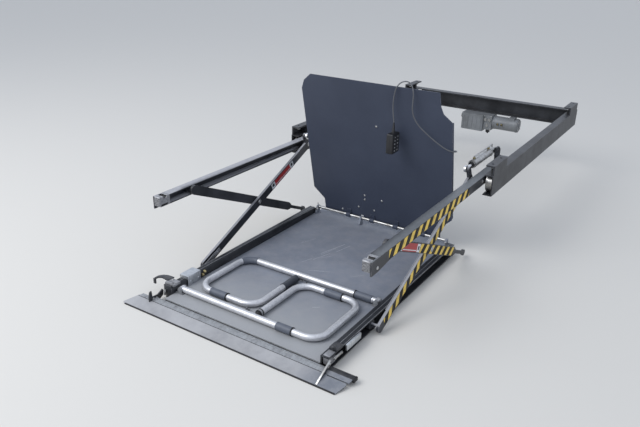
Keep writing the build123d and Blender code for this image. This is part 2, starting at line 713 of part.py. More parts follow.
def handrail(name, side, y, turn):
    """side is +1 when the loop lies towards +X, turn is +1 when it lies towards +Y."""
    with BuildPart() as tube:
        with BuildLine(Plane.XY.offset(handrail_z)) as path:
            tube_path(side, y, turn)
        with BuildSketch(path.line ^ 0):
            Circle(tube_radius)
            Circle(tube_radius - tube_wall, mode=Mode.SUBTRACT)
        sweep()
        pivot = -side * handrail_pivot_x
        with BuildSketch(Plane.YZ.offset(min(pivot, pivot + side * 40))):
            with Locations((y, handrail_z)):
                Circle(tube_radius - tube_wall)
        extrude(amount=40)
        with BuildSketch(Plane.XZ.offset(-y - 11)):
            with Locations((pivot, handrail_z)):
                Circle(13)
        extrude(amount=22)
        with BuildSketch(Plane.XZ.offset(-y - 16)):
            with Locations((pivot, handrail_z)):
                Circle(6 + running_clearance)
        extrude(amount=32, mode=Mode.SUBTRACT)
    write(tube, name)


handrail("handrail_front", 1, handrail_front_y, 1)
handrail("handrail_rear", -1, handrail_rear_y, -1)


def sleeve(x, y, length):
    with BuildSketch(Plane.YZ.offset(x - length / 2)) as ring:
        with Locations((y, handrail_z)):
            Circle(sleeve_radius)
            Circle(tube_radius + 0.02, mode=Mode.SUBTRACT)
    extrude(ring.sketch, amount=length)


with BuildPart() as front_sleeves:
    sleeve(200, handrail_front_y, 90)
    sleeve(190, handrail_front_y + handrail_depth, 75)
write(front_sleeves, "handrail_front_sleeves")
with BuildPart() as rear_sleeves:
    sleeve(322, handrail_rear_y, 96)
    sleeve(-238, handrail_rear_y, 72)
    sleeve(-200, handrail_rear_y - handrail_depth, 75)
write(rear_sleeves, "handrail_rear_sleeves")


def end_piece(name, side, y, turn, length, radius):
    """A plastic grip or cap over the free end of a handrail."""
    low = y + turn * leg_end_gap
    with BuildPart() as piece:
        with BuildSketch(Plane.XZ.offset(-(low + turn * length))):
            with Locations((side * handrail_leg_x, handrail_z)):
                Circle(radius)
                Circle(tube_radius + 0.02, mode=Mode.SUBTRACT)
        extrude(amount=turn * length)
        with BuildSketch(Plane.XZ.offset(-low)):
            with Locations((side * handrail_leg_x, handrail_z)):
                Circle(radius)
        extrude(amount=turn * 5)
    write(piece, name)


end_piece("handrail_front_cap", 1, handrail_front_y, 1, cap_depth, cap_radius)
end_piece("handrail_rear_grip", -1, handrail_rear_y, -1, grip_length, grip_radius)

# Brackets that the handrails fold in
with BuildPart() as handrail_brackets:
    for side, y in ((-1, handrail_front_y), (1, handrail_rear_y)):
        x = side * handrail_pivot_x
        with BuildSketch(Plane.XY.offset(floor_z)):
            with Locations((x + side * 2, y)):
                Rectangle(42, 44)
        extrude(amount=4)
        for ear in (-15.5, 15.5):
            with BuildSketch(Plane.XZ.offset(-(y + ear) - 3)):
                with Locations((x, handrail_z)):
                    Circle(12)
                with Locations((x, (handrail_z + floor_z) / 2)):
                    Rectangle(24, handrail_z - floor_z)
            extrude(amount=6)
        with BuildSketch(Plane.XZ.offset(-y - 20)):
            with Locations((x, handrail_z)):
                Circle(6)
        extrude(amount=40)
write(handrail_brackets, "handrail_brackets")
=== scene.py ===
import json
import math

import bmesh
import bpy
from mathutils import Matrix, Vector


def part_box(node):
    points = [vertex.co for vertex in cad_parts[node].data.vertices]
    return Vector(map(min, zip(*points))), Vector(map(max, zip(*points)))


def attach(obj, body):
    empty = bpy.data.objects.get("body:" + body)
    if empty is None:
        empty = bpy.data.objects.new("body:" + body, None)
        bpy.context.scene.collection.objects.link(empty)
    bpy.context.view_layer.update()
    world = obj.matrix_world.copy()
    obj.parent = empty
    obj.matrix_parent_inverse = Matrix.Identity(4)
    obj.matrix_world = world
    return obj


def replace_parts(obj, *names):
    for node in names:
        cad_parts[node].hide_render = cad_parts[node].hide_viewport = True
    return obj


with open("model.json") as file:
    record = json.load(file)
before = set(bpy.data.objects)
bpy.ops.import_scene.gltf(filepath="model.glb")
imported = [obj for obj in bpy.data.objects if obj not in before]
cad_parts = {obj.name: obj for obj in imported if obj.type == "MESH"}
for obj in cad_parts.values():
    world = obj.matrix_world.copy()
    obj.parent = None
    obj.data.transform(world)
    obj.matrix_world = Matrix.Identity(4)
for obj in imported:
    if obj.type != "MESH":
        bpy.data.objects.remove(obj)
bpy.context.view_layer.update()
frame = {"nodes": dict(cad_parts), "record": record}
nodes = frame["nodes"]
print("frame loaded,", len(nodes), "nodes")

scene = bpy.context.scene
scene.view_settings.view_transform = "Standard"

# the camera stands to the right of the platform's outer edge and looks down on it
cameraPlace = {
    "location": (1.551, -3.123, 1.033),
    "pitch": 23.1,          # degrees down
    "yaw": 32.9,            # degrees to the left of straight in
    "roll": 1.1,
    "lens": 36.66,
    "sensor": 36.0,
    "clip": (0.05, 60),
}


def makeCamera(s):
    data = bpy.data.cameras.new("camera")
    data.lens = s["lens"]
    data.sensor_width = s["sensor"]
    data.clip_start, data.clip_end = s["clip"]
    camera = bpy.data.objects.new("camera", data)
    scene.collection.objects.link(camera)
    turn = (
        Matrix.Rotation(math.radians(s["yaw"]), 4, "Z")
        @ Matrix.Rotation(math.radians(90 - s["pitch"]), 4, "X")
        @ Matrix.Rotation(math.radians(s["roll"]), 4, "Z")
    )
    camera.matrix_world = Matrix.Translation(s["location"]) @ turn
    scene.camera = camera


makeCamera(cameraPlace)
print("camera set")

# places that the pieces below share, in metres
plateHinge = Vector((0, -0.11, -0.454))
plateFace = -0.097
plateLean = 12.6            # degrees back from upright
armPivot = Vector((0, -0.105, -0.084))
armFoot = Vector((0, -1.00971, -0.486))
outerTop = Vector((0, -1.03347, -0.084))
outerFoot = Vector((0, -0.12876, -0.486))
armCross = Vector((0, -0.56923, -0.29028))
upperArmX = (0.522, 0.564)
upperArmZ = (-0.107, -0.061)
innerArmX = (0.49, 0.502)
outerArmX = (0.506, 0.518)
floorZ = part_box("ramp")[0].z
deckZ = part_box("deck")[1].z
bothSides = ((-1, "Left"), (1, "Right"))

plateTurn = (
    Matrix.Translation(plateHinge)
    @ Matrix.Rotation(math.radians(plateLean), 4, "X")
    @ Matrix.Translation(-plateHinge)
)


def onPlate(across, up, behind=0.0):
    return plateTurn @ Vector((across, plateFace + behind, plateHinge.z + up))


def alongArm(foot, top, x):
    # local X stays X, local Y runs from foot to top, local Z stands up from the arm's middle line
    run = (top - foot).normalized()
    turn = Matrix.Rotation(math.atan2(run.z, run.y), 4, "X")
    return Matrix.Translation(Vector((x, foot.y, foot.z))) @ turn


# shader helpers: an input takes another node's output or a plain value


def opaque(colour):
    return (*colour, 1)


def feed(tree, socket, value):
    if isinstance(value, bpy.types.NodeSocket):
        tree.links.new(value, socket)
    else:
        socket.default_value = value


def addNode(tree, kind, inputs, **settings):
    node = tree.nodes.new("ShaderNode" + kind)
    for name, value in settings.items():
        setattr(node, name, value)
    for key, value in inputs.items():
        feed(tree, node.inputs[key], value)
    return node.outputs


def noise(tree, vector, scale, detail, roughness=0.5):
    inputs = {"Vector": vector, "Scale": scale, "Detail": detail, "Roughness": roughness}
    return addNode(tree, "TexNoise", inputs)["Fac"]


def remap(tree, value, start, end, toStart=0.0, toEnd=1.0):
    inputs = {"Value": value, "From Min": start, "From Max": end, "To Min": toStart, "To Max": toEnd}
    return addNode(tree, "MapRange", inputs)["Result"]


def blend(tree, amount, first, second):
    return addNode(tree, "Mix", {"Factor": amount, "A": first, "B": second}, data_type="RGBA")["Result"]


def compute(tree, operation, *values):
    return addNode(tree, "Math", dict(enumerate(values)), operation=operation)["Value"]


def startMaterial(name):
    material = bpy.data.materials.new(name)
    material.use_nodes = True
    tree = material.node_tree
    return material, tree, tree.nodes["Principled BSDF"].inputs, addNode(tree, "TexCoord", {})


def addBump(tree, shader, height, strength, distance):
    inputs = {"Height": height, "Strength": strength, "Distance": distance}
    feed(tree, shader["Normal"], addNode(tree, "Bump", inputs)["Normal"])


# painted metal: a faded coat, dust on what faces up, and edges rubbed bare; on the arms, what faces up is
# painted light grey all over, a painted sheen for the sky's reflection

paintBasics = {
    "grain": 260.0, "bump": 0.08, "sheenFloor": 0.0,
    "patchDetail": 6, "patchRoughness": 0.62, "fading": (0.38, 0.66),
    "ragged": 0.16,         # metres by which the lighter or darker end wanders
    "facingUp": (0.55, 0.98), "speckDetail": 9, "speckRoughness": 0.75, "speckSpread": (0.42, 0.78),
    "bevelSamples": 6, "sharpness": (0.995, 0.9), "rubScale": 55, "rubDetail": 5, "rub": (0.46, 0.6),
    "grainDetail": 2, "bumpDistance": 0.001,
}
# the arms' paint: a raised floor on what faces up paints their tops light grey, a painted sheen for the sky's
# reflection
armPaintLook = {
    "base": (0.014, 0.015, 0.02), "faded": (0.034, 0.036, 0.044), "dustAndSheen": (0.4, 0.4, 0.42),
    "bare": (0.42, 0.42, 0.43), "patches": 9.0, "rough": (0.34, 0.5),
    "edge": 0.002, "edgeLevel": 0.7, "sheenFloor": 0.72, "sheenAndDustLevel": 1.0,
}


def paintedMetal(name, s):
    s = paintBasics | s
    material, tree, shader, place = startMaterial(name)
    patches = noise(tree, place["Object"], s["patches"], s["patchDetail"], s["patchRoughness"])
    coat = blend(tree, remap(tree, patches, *s["fading"]), opaque(s["base"]), opaque(s["faded"]))
    if "endTone" in s:
        # one end is painted lighter or darker
        t = s["endTone"]
        parts = addNode(tree, "SeparateXYZ", {"Vector": place["Object"]})
        ragged = compute(tree, "MULTIPLY_ADD", patches, s["ragged"], parts[t["axis"]])
        shift = s["ragged"] / 2
        reach = remap(tree, ragged, t["from"] + shift, t["to"] + shift, 0, t["level"])
        coat = blend(tree, reach, coat, opaque(t["colour"]))

    # dust on what faces up; on the arms this is also a painted sheen
    facing = addNode(tree, "SeparateXYZ", {"Vector": place["Normal"]})
    specks = noise(tree, place["Object"], s["patches"] * 5, s["speckDetail"], s["speckRoughness"])
    sheenAndDustShare = remap(tree, specks, *s["speckSpread"], s["sheenFloor"], s["sheenAndDustLevel"])
    dustAndSheen = compute(tree, "MULTIPLY", remap(tree, facing["Z"], *s["facingUp"]), sheenAndDustShare)
    coat = blend(tree, dustAndSheen, coat, opaque(s["dustAndSheen"]))

    rounded = addNode(tree, "Bevel", {"Radius": s["edge"]}, samples=s["bevelSamples"])
    surface = addNode(tree, "NewGeometry", {})
    normals = {0: rounded["Normal"], 1: surface["Normal"]}
    turned = addNode(tree, "VectorMath", normals, operation="DOT_PRODUCT")
    edge = remap(tree, turned["Value"], *s["sharpness"])
    rubs = noise(tree, place["Object"], s["rubScale"], s["rubDetail"])
    wear = compute(tree, "MULTIPLY", edge, remap(tree, rubs, *s["rub"], 0, s["edgeLevel"]))
    feed(tree, shader["Base Color"], blend(tree, wear, coat, opaque(s["bare"])))
    feed(tree, shader["Metallic"], wear)
    feed(tree, shader["Roughness"], remap(tree, specks, 0, 1, *s["rough"]))
    grain = noise(tree, place["Object"], s["grain"], s["grainDetail"])
    addBump(tree, shader, grain, s["bump"], s["bumpDistance"])
    return material


blackPaintAndShade = paintedMetal("blackPaintAndShade", {
    "base": (0.012, 0.013, 0.016), "faded": (0.04, 0.042, 0.048), "dustAndSheen": (0.2, 0.18, 0.16),
    "bare": (0.33, 0.32, 0.31), "patches": 7.0, "rough": (0.34, 0.55),
    "edge": 0.0022, "edgeLevel": 0.55, "sheenAndDustLevel": 0.35,
})
armPaint = paintedMetal("armPaint", armPaintLook)
# a copy for the right upper arm, with a darker painted sheen on its top
armPaintLessSheen = paintedMetal("armPaintLessSheen", armPaintLook | {"dustAndSheen": (0.15, 0.16, 0.17)})
railPaint = paintedMetal("railPaint", {
    "base": (0.01, 0.011, 0.013), "faded": (0.024, 0.025, 0.029), "dustAndSheen": (0.16, 0.16, 0.17),
    "bare": (0.36, 0.36, 0.37), "patches": 12.0, "rough": (0.3, 0.45),
    "edge": 0.0022, "edgeLevel": 0.9, "sheenAndDustLevel": 0.12,
})
greyPaint = paintedMetal("greyPaint", {
    "base": (0.2, 0.21, 0.22), "faded": (0.14, 0.145, 0.15), "dustAndSheen": (0.12, 0.1, 0.08),
    "bare": (0.3, 0.3, 0.3), "patches": 11.0, "grain": 300.0, "rough": (0.35, 0.55),
    "edge": 0.0015, "edgeLevel": 0.4, "sheenAndDustLevel": 0.5, "bump": 0.06,
})
plateCoating = paintedMetal("plateCoating", {
    "base": (0.034, 0.043, 0.07), "faded": (0.044, 0.055, 0.086), "dustAndSheen": (0.1, 0.1, 0.11),
    "bare": (0.4, 0.4, 0.41), "patches": 2.6, "grain": 520.0, "rough": (0.55, 0.68),
    "edge": 0.0012, "edgeLevel": 0.9, "sheenAndDustLevel": 0.25, "bump": 0.14,
})
# towards the entrance the deck is painted lighter: a painted reflection of the sky
deckCoating = paintedMetal("deckCoating", {
    "base": (0.15, 0.165, 0.2), "faded": (0.205, 0.222, 0.262), "dustAndSheen": (0.34, 0.33, 0.33),
    "bare": (0.36, 0.36, 0.36), "patches": 3.2, "grain": 420.0, "rough": (0.42, 0.62),
    "edge": 0.0015, "edgeLevel": 0.7, "sheenAndDustLevel": 0.42, "bump": 0.22,
    "endTone": {"axis": "Y", "from": -0.84, "to": -1.28, "colour": (0.33, 0.335, 0.34), "level": 0.85},
})
# towards its right end the ramp is painted darker
rampCoating = paintedMetal("rampCoating", {
    "base": (0.26, 0.26, 0.27), "faded": (0.36, 0.36, 0.37), "dustAndSheen": (0.42, 0.41, 0.4),
    "bare": (0.5, 0.49, 0.48), "patches": 6.0, "grain": 380.0, "rough": (0.4, 0.6),
    "edge": 0.0018, "edgeLevel": 0.9, "sheenAndDustLevel": 0.4, "bump": 0.2,
    "endTone": {"axis": "X", "from": 0.36, "to": 0.47, "colour": (0.095, 0.11, 0.14), "level": 0.75},
})


# bare metal: bright, with dull spots that a brush may draw out along one axis

metalBasics = {
    "brush": (1, 1, 1), "detail": 7, "roughness": 0.65, "dulled": (0.4, 0.72), "gloss": (0.3, 0.7),
    "bump": 0.12, "bumpDistance": 0.0008,
}


def bareMetal(name, s):
    s = metalBasics | s
    material, tree, shader, place = startMaterial(name)
    shader["Metallic"].default_value = s["metal"]
    stretched = addNode(tree, "Mapping", {"Vector": place["Object"], "Scale": s["brush"]})["Vector"]
    spots = noise(tree, stretched, s["spots"], s["detail"], s["roughness"])
    tint = blend(tree, remap(tree, spots, *s["dulled"]), opaque(s["base"]), opaque(s["dull"]))
    feed(tree, shader["Base Color"], tint)
    feed(tree, shader["Roughness"], remap(tree, spots, *s["gloss"], *s["rough"]))
    addBump(tree, shader, spots, s["bump"], s["bumpDistance"])
    return material


zincSteel = bareMetal("zincSteel", {
    "base": (0.52, 0.52, 0.51), "dull": (0.28, 0.26, 0.24), "spots": 45.0, "rough": (0.28, 0.5), "metal": 1.0,
})
chromedRod = bareMetal("chromedRod", {
    "base": (0.78, 0.78, 0.79), "dull": (0.62, 0.62, 0.63),
    "spots": 30.0, "rough": (0.06, 0.16), "metal": 1.0,
})
castAlloy = bareMetal("castAlloy", {
    "base": (0.46, 0.46, 0.47), "dull": (0.2, 0.2, 0.21),
    "spots": 90.0, "rough": (0.45, 0.7), "metal": 0.75,
})
anodisedTube = bareMetal("anodisedTube", {
    "base": (0.68, 0.68, 0.69), "dull": (0.52, 0.52, 0.54),
    "spots": 60.0, "rough": (0.34, 0.48), "metal": 0.7,
})
brightAlloy = bareMetal("brightAlloy", {
    "base": (0.62, 0.64, 0.66), "dull": (0.42, 0.44, 0.46),
    "spots": 25.0, "rough": (0.3, 0.5), "brush": (1, 6, 1),
    "metal": 0.85,
})
dullBrass = bareMetal("dullBrass", {
    "base": (0.55, 0.47, 0.26), "dull": (0.3, 0.25, 0.14), "spots": 60.0, "rough": (0.3, 0.5), "metal": 0.9,
})
wornSteelAndHighlight = bareMetal("wornSteelAndHighlight", {
    "base": (0.36, 0.36, 0.37), "dull": (0.16, 0.16, 0.17), "spots": 38.0, "rough": (0.4, 0.6), "metal": 0.5,
})
wornDark = bareMetal("wornDark", {
    "base": (0.33, 0.34, 0.35), "dull": (0.2, 0.2, 0.21),
    "spots": 30.0, "rough": (0.4, 0.6), "brush": (2, 1, 1),
    "metal": 0.5,
})
pittedCast = bareMetal("pittedCast", {
    "base": (0.3, 0.3, 0.31), "dull": (0.03, 0.03, 0.03), "spots": 160.0, "rough": (0.5, 0.8), "metal": 0.4,
})


# plastic, rubber and ink: a fine grain and faint scuffs

plasticBasics = {"scuffs": 40, "scuffDetail": 6, "grainDetail": 3, "bumpDistance": 0.0006}


def mouldedPlastic(name, s):
    s = plasticBasics | s
    material, tree, shader, place = startMaterial(name)
    shader["Roughness"].default_value = s["rough"]
    scuffs = noise(tree, place["Object"], s["scuffs"], s["scuffDetail"])
    feed(tree, shader["Base Color"], blend(tree, scuffs, opaque(s["base"]), opaque(s["light"])))
    grain = noise(tree, place["Object"], s["grain"], s["grainDetail"])
    addBump(tree, shader, grain, s["bump"], s["bumpDistance"])
    return material


blackPlastic = mouldedPlastic("blackPlastic", {
    "base": (0.01, 0.01, 0.011), "light": (0.022, 0.022, 0.024),
    "grain": 900.0, "rough": 0.42, "bump": 0.25,
})
greyPlastic = mouldedPlastic("greyPlastic", {
    "base": (0.075, 0.085, 0.108), "light": (0.12, 0.132, 0.16), "grain": 500.0, "rough": 0.5, "bump": 0.2,
})
cordSheath = mouldedPlastic("cordSheath", {
    "base": (0.075, 0.078, 0.085), "light": (0.13, 0.135, 0.145), "grain": 300.0, "rough": 0.48, "bump": 0.1,
})
gasketAndShade = mouldedPlastic("gasketAndShade", {
    "base": (0.004, 0.004, 0.005), "light": (0.012, 0.012, 0.013), "grain": 400.0, "rough": 0.6, "bump": 0.1,
})
darkGrip = mouldedPlastic("darkGrip", {
    "base": (0.02, 0.024, 0.034), "light": (0.038, 0.044, 0.058), "grain": 500.0, "rough": 0.5, "bump": 0.2,
})
paleScuff = mouldedPlastic("paleScuff", {
    "base": (0.3, 0.31, 0.33), "light": (0.46, 0.47, 0.49), "grain": 700.0, "rough": 0.7, "bump": 0.2,
})
whiteInk = mouldedPlastic("whiteInk", {
    "base": (0.62, 0.63, 0.64), "light": (0.74, 0.75, 0.76), "grain": 400.0, "rough": 0.5, "bump": 0.05,
})
redLabel = mouldedPlastic("redLabel", {
    "base": (0.36, 0.018, 0.022), "light": (0.46, 0.035, 0.035), "grain": 120.0, "rough": 0.42, "bump": 0.05,
})


# hazard tape: slanted stripes in the tape's own UV map, whose units are metres along and across it


def hazardTape(name, s):
    material, tree, shader, place = startMaterial(name)
    shader["Roughness"].default_value = s["rough"]
    shader["Specular IOR Level"].default_value = s["specular"]
    flat = addNode(tree, "UVMap", {}, uv_map="flat")["UV"]
    parts = addNode(tree, "SeparateXYZ", {"Vector": flat})
    slant = compute(tree, "MULTIPLY_ADD", parts["Y"], -s["lean"], parts["X"])
    step = compute(tree, "FRACT", compute(tree, "DIVIDE", slant, s["pitch"]))
    stripe = compute(tree, "LESS_THAN", step, s["share"])
    colours = blend(tree, stripe, opaque(s["black"]), opaque(s["yellow"]))
    smears = noise(tree, place["Object"], s["smears"], s["smearDetail"], s["smearRoughness"])
    grime = remap(tree, smears, *s["grimy"], 0, s["grimeLevel"])
    feed(tree, shader["Base Color"], blend(tree, grime, colours, opaque(s["grime"])))
    return material


stripedTape = hazardTape("stripedTape", {
    "yellow": (0.84, 0.59, 0.12), "black": (0.005, 0.005, 0.005), "grime": (0.1, 0.085, 0.06),
    "pitch": 0.0705, "share": 0.45, "lean": 0.6, "rough": 0.6, "specular": 0.3,
    "smears": 28, "smearDetail": 8, "smearRoughness": 0.7, "grimy": (0.48, 0.75), "grimeLevel": 0.7,
})


slotFinish = {
    "black_paint": blackPaintAndShade, "grey_paint": greyPaint, "cast_metal": castAlloy, "steel": zincSteel,
    "chrome": chromedRod, "deck_coating": deckCoating, "plate_coating": plateCoating,
    "aluminium": anodisedTube, "grey_plastic": greyPlastic, "black_plastic": blackPlastic,
    "cord_rubber": cordSheath,
}
nodeFinish = {
    "ramp": rampCoating, "power_pack": greyPaint, "inner_arm_left": armPaint, "inner_arm_right": armPaint,
    # the ramp hinge's steel lugs take the black paint: painted shade for the shadowed gap between deck and
    # hinge strip
    "side_rail_right": railPaint, "ramp_hinge": blackPaintAndShade, "plate_knuckles": plateCoating,
    "handrail_brackets": wornDark, "hinge_brackets": deckCoating,
}


def finishNodes():
    for part in frame["record"]["subparts"]:
        name = part["node"]
        mesh = nodes[name].data
        mesh.materials.clear()
        mesh.materials.append(nodeFinish.get(name, slotFinish[part["material_slot"]]))


finishNodes()
print("finishes made and given to the nodes")

# mesh helpers: each adds a closed shape to the mesh that is being built


def finishNew(bm, known, finish):
    made = [face for face in bm.faces if face not in known]
    for face in made:
        face.material_index = finish
    return made


def vertsOf(faces):
    return list({vert for face in faces for vert in face.verts})


def soften(bm, edges, offset, steps=2):
    bmesh.ops.bevel(bm, geom=edges, offset=offset, segments=steps, profile=0.5, affect="EDGES", material=-1)


def axisPlace(origin, way):
    return Matrix.Translation(Vector(origin)) @ Vector(way).to_track_quat("Z", "Y").to_matrix().to_4x4()


def mirror(side):
    return Matrix.Scale(side, 4, (1, 0, 0))


def addBlock(bm, low, high, rounding=0.0, steps=2, finish=0):
    known = set(bm.faces)
    low, high = Vector(low), Vector(high)
    verts = bmesh.ops.create_cube(bm, size=1)["verts"]
    bmesh.ops.scale(bm, vec=high - low, verts=verts)
    bmesh.ops.translate(bm, vec=(low + high) / 2, verts=verts)
    if rounding:
        soften(bm, list({edge for vert in verts for edge in vert.link_edges}), rounding, steps)
    return finishNew(bm, known, finish)


def addPrism(bm, sides, radius, length, place, finish=0):
    known = set(bm.faces)
    verts = bmesh.ops.create_cone(
        bm, cap_ends=True, segments=sides, radius1=radius, radius2=radius, depth=length, matrix=place
    )["verts"]
    finishNew(bm, known, finish)
    return verts


def addRod(bm, start, end, radius, sides, rounding, finish):
    way = Vector(end) - Vector(start)
    place = axisPlace((Vector(start) + Vector(end)) / 2, way)
    verts = addPrism(bm, sides, radius, way.length, place, finish)
    rims = [edge for edge in {e for v in verts for e in v.link_edges}
            if sum(len(face.verts) > 4 for face in edge.link_faces) == 1]
    soften(bm, rims, rounding)


def addTurned(bm, origin, way, profile, sides=32, finish=0):
    # profile: (distance along the axis, radius); a radius of 0 closes an end
    known = set(bm.faces)
    verts = [bm.verts.new((radius, 0, along)) for along, radius in profile]
    edges = [bm.edges.new(pair) for pair in zip(verts, verts[1:])]
    bmesh.ops.spin(bm, geom=verts + edges, cent=(0, 0, 0), axis=(0, 0, 1), dvec=(0, 0, 0),
                   angle=2 * math.pi, steps=sides, use_merge=True, use_duplicate=False)
    bmesh.ops.remove_doubles(bm, verts=vertsOf(finishNew(bm, known, finish)), dist=1e-6)
    made = finishNew(bm, known, finish)
    bmesh.ops.recalc_face_normals(bm, faces=made)
    bmesh.ops.transform(bm, matrix=axisPlace(origin, way), verts=vertsOf(made))


def addDome(bm, origin, way, radius, height, finish=0):
    arc = [(height * math.sin(math.radians(a)), radius * math.cos(math.radians(a))) for a in (20, 45, 70)]
    addTurned(bm, origin, way, [(0, 0), (0, radius), *arc, (height, 0)], 20, finish)


def addHexBolt(bm, origin, way, across, height, finish=0):
    # washer, hexagon head and its chamfered edges
    washer, thick = across * 0.62, height * 0.18
    addTurned(bm, origin, way, [(0, 0), (0, washer), (thick, washer), (thick, 0)], 24, finish)
    place = axisPlace(origin, way) @ Matrix.Translation((0, 0, height * 0.58))
    verts = addPrism(bm, 6, across / 2, height * 0.8, place, finish)
    soften(bm, list({edge for vert in verts for edge in vert.link_edges}), height * 0.08, 1)


def addCut(bm, outline, axis, start, end, rounding=0.0, finish=0):
    # outline: a flat closed outline; axis "x" reads it as (y, z), "y" as (x, z) and "z" as (x, y)
    known = set(bm.faces)
    at = "xyz".index(axis)
    way = Vector([end - start if letter == axis else 0 for letter in "xyz"])
    base = bm.faces.new([bm.verts.new((*point[:at], start, *point[at:])) for point in outline])
    raised = bmesh.ops.extrude_face_region(bm, geom=[base])["geom"]
    bmesh.ops.translate(bm, vec=way, verts=[part for part in raised if isinstance(part, bmesh.types.BMVert)])
    made = finishNew(bm, known, finish)
    bmesh.ops.recalc_face_normals(bm, faces=made)
    if rounding:
        corners = {edge for face in made for edge in face.edges if edge.calc_face_angle(0) > 0.5}
        soften(bm, list(corners), rounding)
    return finishNew(bm, known, finish)


def addEach(bm, make, places, *values):
    for place in places:
        make(bm, place, *values)


def addBlocks(bm, blocks, *values):
    for low, high in blocks:
        addBlock(bm, low, high, *values)


def ring(inner, outer, length, chamfer=0.0006):
    rim = outer - chamfer
    return [(0, inner), (0, rim), (chamfer, outer), (length - chamfer, outer), (length, rim), (length, inner),
            (0, inner)]


def ribs(count, start, pitch, root, crest, widths, growth=0.0):
    # rings of a turned profile; widths: where a ring's crest starts and ends and where the ring ends
    rise, fall, end = widths
    points = []
    for k in range(count):
        along, low, high = start + k * pitch, root + k * growth, crest + k * growth
        points += [(along, low), (along + rise, high), (along + fall, high), (along + end, low)]
    return points


def addPiece(bm, name, body, finishes, place=None):
    if place is not None:
        bmesh.ops.transform(bm, matrix=place, verts=bm.verts)
        bmesh.ops.recalc_face_normals(bm, faces=bm.faces)
    mesh = bpy.data.meshes.new(name)
    bm.to_mesh(mesh)
    bm.free()
    for finish in finishes:
        mesh.materials.append(finish)
    mesh.shade_smooth()
    mesh.set_sharp_from_angle(angle=math.radians(35))
    piece = bpy.data.objects.new(name, mesh)
    scene.collection.objects.link(piece)
    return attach(piece, body)


def makePiece(name, body, finishes, shapes, place=None):
    # shapes: a helper from above and what it is given, in its parameters' order
    bm = bmesh.new()
    for make, *values in shapes.values():
        make(bm, *values)
    return addPiece(bm, name, body, finishes, place)


# hand control and its cord

cordRoute = [
    (0.141, -0.285, 0.188), (0.134, -0.285, 0.228), (0.13, -0.285, 0.266), (0.131, -0.286, 0.304),
    (0.138, -0.29, 0.34), (0.148, -0.293, 0.368), (0.163, -0.284, 0.389), (0.187, -0.275, 0.397),
    (0.211, -0.274, 0.391), (0.23, -0.287, 0.372), (0.24, -0.294, 0.344), (0.238, -0.291, 0.304),
    (0.235, -0.287, 0.263), (0.247, -0.282, 0.223), (0.27, -0.276, 0.19), (0.302, -0.267, 0.161),
    (0.336, -0.258, 0.133), (0.369, -0.249, 0.11), (0.399, -0.242, 0.091), (0.428, -0.234, 0.079),
    (0.443, -0.217, 0.074), (0.446, -0.194, 0.07), (0.438, -0.173, 0.066), (0.42, -0.16, 0.061),
    (0.398, -0.158, 0.054), (0.375, -0.169, 0.043),
]
cordSize = {
    "diameter": 0.006,
    "length": 1.97,
    "coilMiddle": (0.345, 0.455),       # across and up on the plate
    "outer": 0.0361, "inner": 0.0298,
    "turnRadius": ("outer", "inner", "inner", "inner", "outer", "outer"),
    "turnDepth": (0.0203, 0.0203, 0.014, 0.0077, 0.0077, 0.014),
    "turns": 5.25,
    "pointsPerTurn": 14,
    "crossing": 0.2,                    # share of a turn in which it crosses to the next
    # across, up and behind, from the coil's middle to the plug
    "tail": ((-0.0375, -0.006, 0.0134), (-0.0405, -0.016, 0.0125), (-0.041, -0.03, 0.0123)),
}


def coilPoints(s):
    # each turn keeps its place in the coil until it crosses to the next
    middle, up = s["coilMiddle"]
    points = []
    for k in range(int(s["turns"] * s["pointsPerTurn"]) + 1):
        turns = k / s["pointsPerTurn"]
        this = int(turns)
        after = min(this + 1, len(s["turnDepth"]) - 1)
        share = max(0.0, (turns - this - 1 + s["crossing"]) / s["crossing"])
        share = share * share * (3 - 2 * share)
        radius = s[s["turnRadius"][this]] * (1 - share) + s[s["turnRadius"][after]] * share
        depth = s["turnDepth"][this] * (1 - share) + s["turnDepth"][after] * share
        angle = math.pi / 2 + 2 * math.pi * turns
        points.append(onPlate(middle + radius * math.cos(angle), up + radius * math.sin(angle), depth))
    return points


def makeCord(s):
    middle, up = s["coilMiddle"]
    tail = [onPlate(middle + x, up + z, behind) for x, z, behind in s["tail"]]
    points = [Vector(point) for point in cordRoute] + coilPoints(s) + tail
    curve = bpy.data.curves.new("handControlCord", "CURVE")
    curve.dimensions = "3D"
    curve.bevel_depth = s["diameter"] / 2
    curve.bevel_resolution = 4
    curve.resolution_u = 6
    spline = curve.splines.new("NURBS")
    spline.points.add(len(points) - 1)
    for point, place in zip(spline.points, points):
        point.co = (*place, 1)
    spline.order_u = 3
    spline.use_endpoint_u = True
    curve.materials.append(cordSheath)
    cord = bpy.data.objects.new("handControlCord", curve)
    scene.collection.objects.link(cord)
    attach(cord, "bridge")
    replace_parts(cord, "pendant_cord", "cord_coil")
    return cord


plugLook = {
    "across": 0.304, "up": 0.443, "behind": 0.0123, "sides": 28,
    "boot": [(0, 0), (0, 0.0042), (0.004, 0.0044),
             *ribs(4, 0.006, 0.0048, 0.0046, 0.0058, (0.0009, 0.0026, 0.0034), 0.0004)],
    "body": [(0.026, 0.0064), (0.027, 0.0068), (0.0282, 0.0076),
             *ribs(5, 0.032, 0.003, 0.0077, 0.0071, (0.0006, 0.0014, 0.002))],
    "tip": [(0.055, 0.0077), (0.0555, 0.0068), (0.07, 0.0068), (0.071, 0.0058), (0.071, 0.0046),
            (0.063, 0.0046), (0.063, 0)],
}


def makePlug(s):
    bm = bmesh.new()
    addTurned(bm, (0, 0, 0), (0, 0, 1), s["boot"] + s["body"] + s["tip"], s["sides"])
    seat = Matrix.Translation((s["across"], plateFace + s["behind"], plateHinge.z + s["up"]))
    place = plateTurn @ seat @ Matrix.Rotation(math.pi, 4, "X")
    return addPiece(bm, "cordConnector", "bridge", [blackPlastic], place)


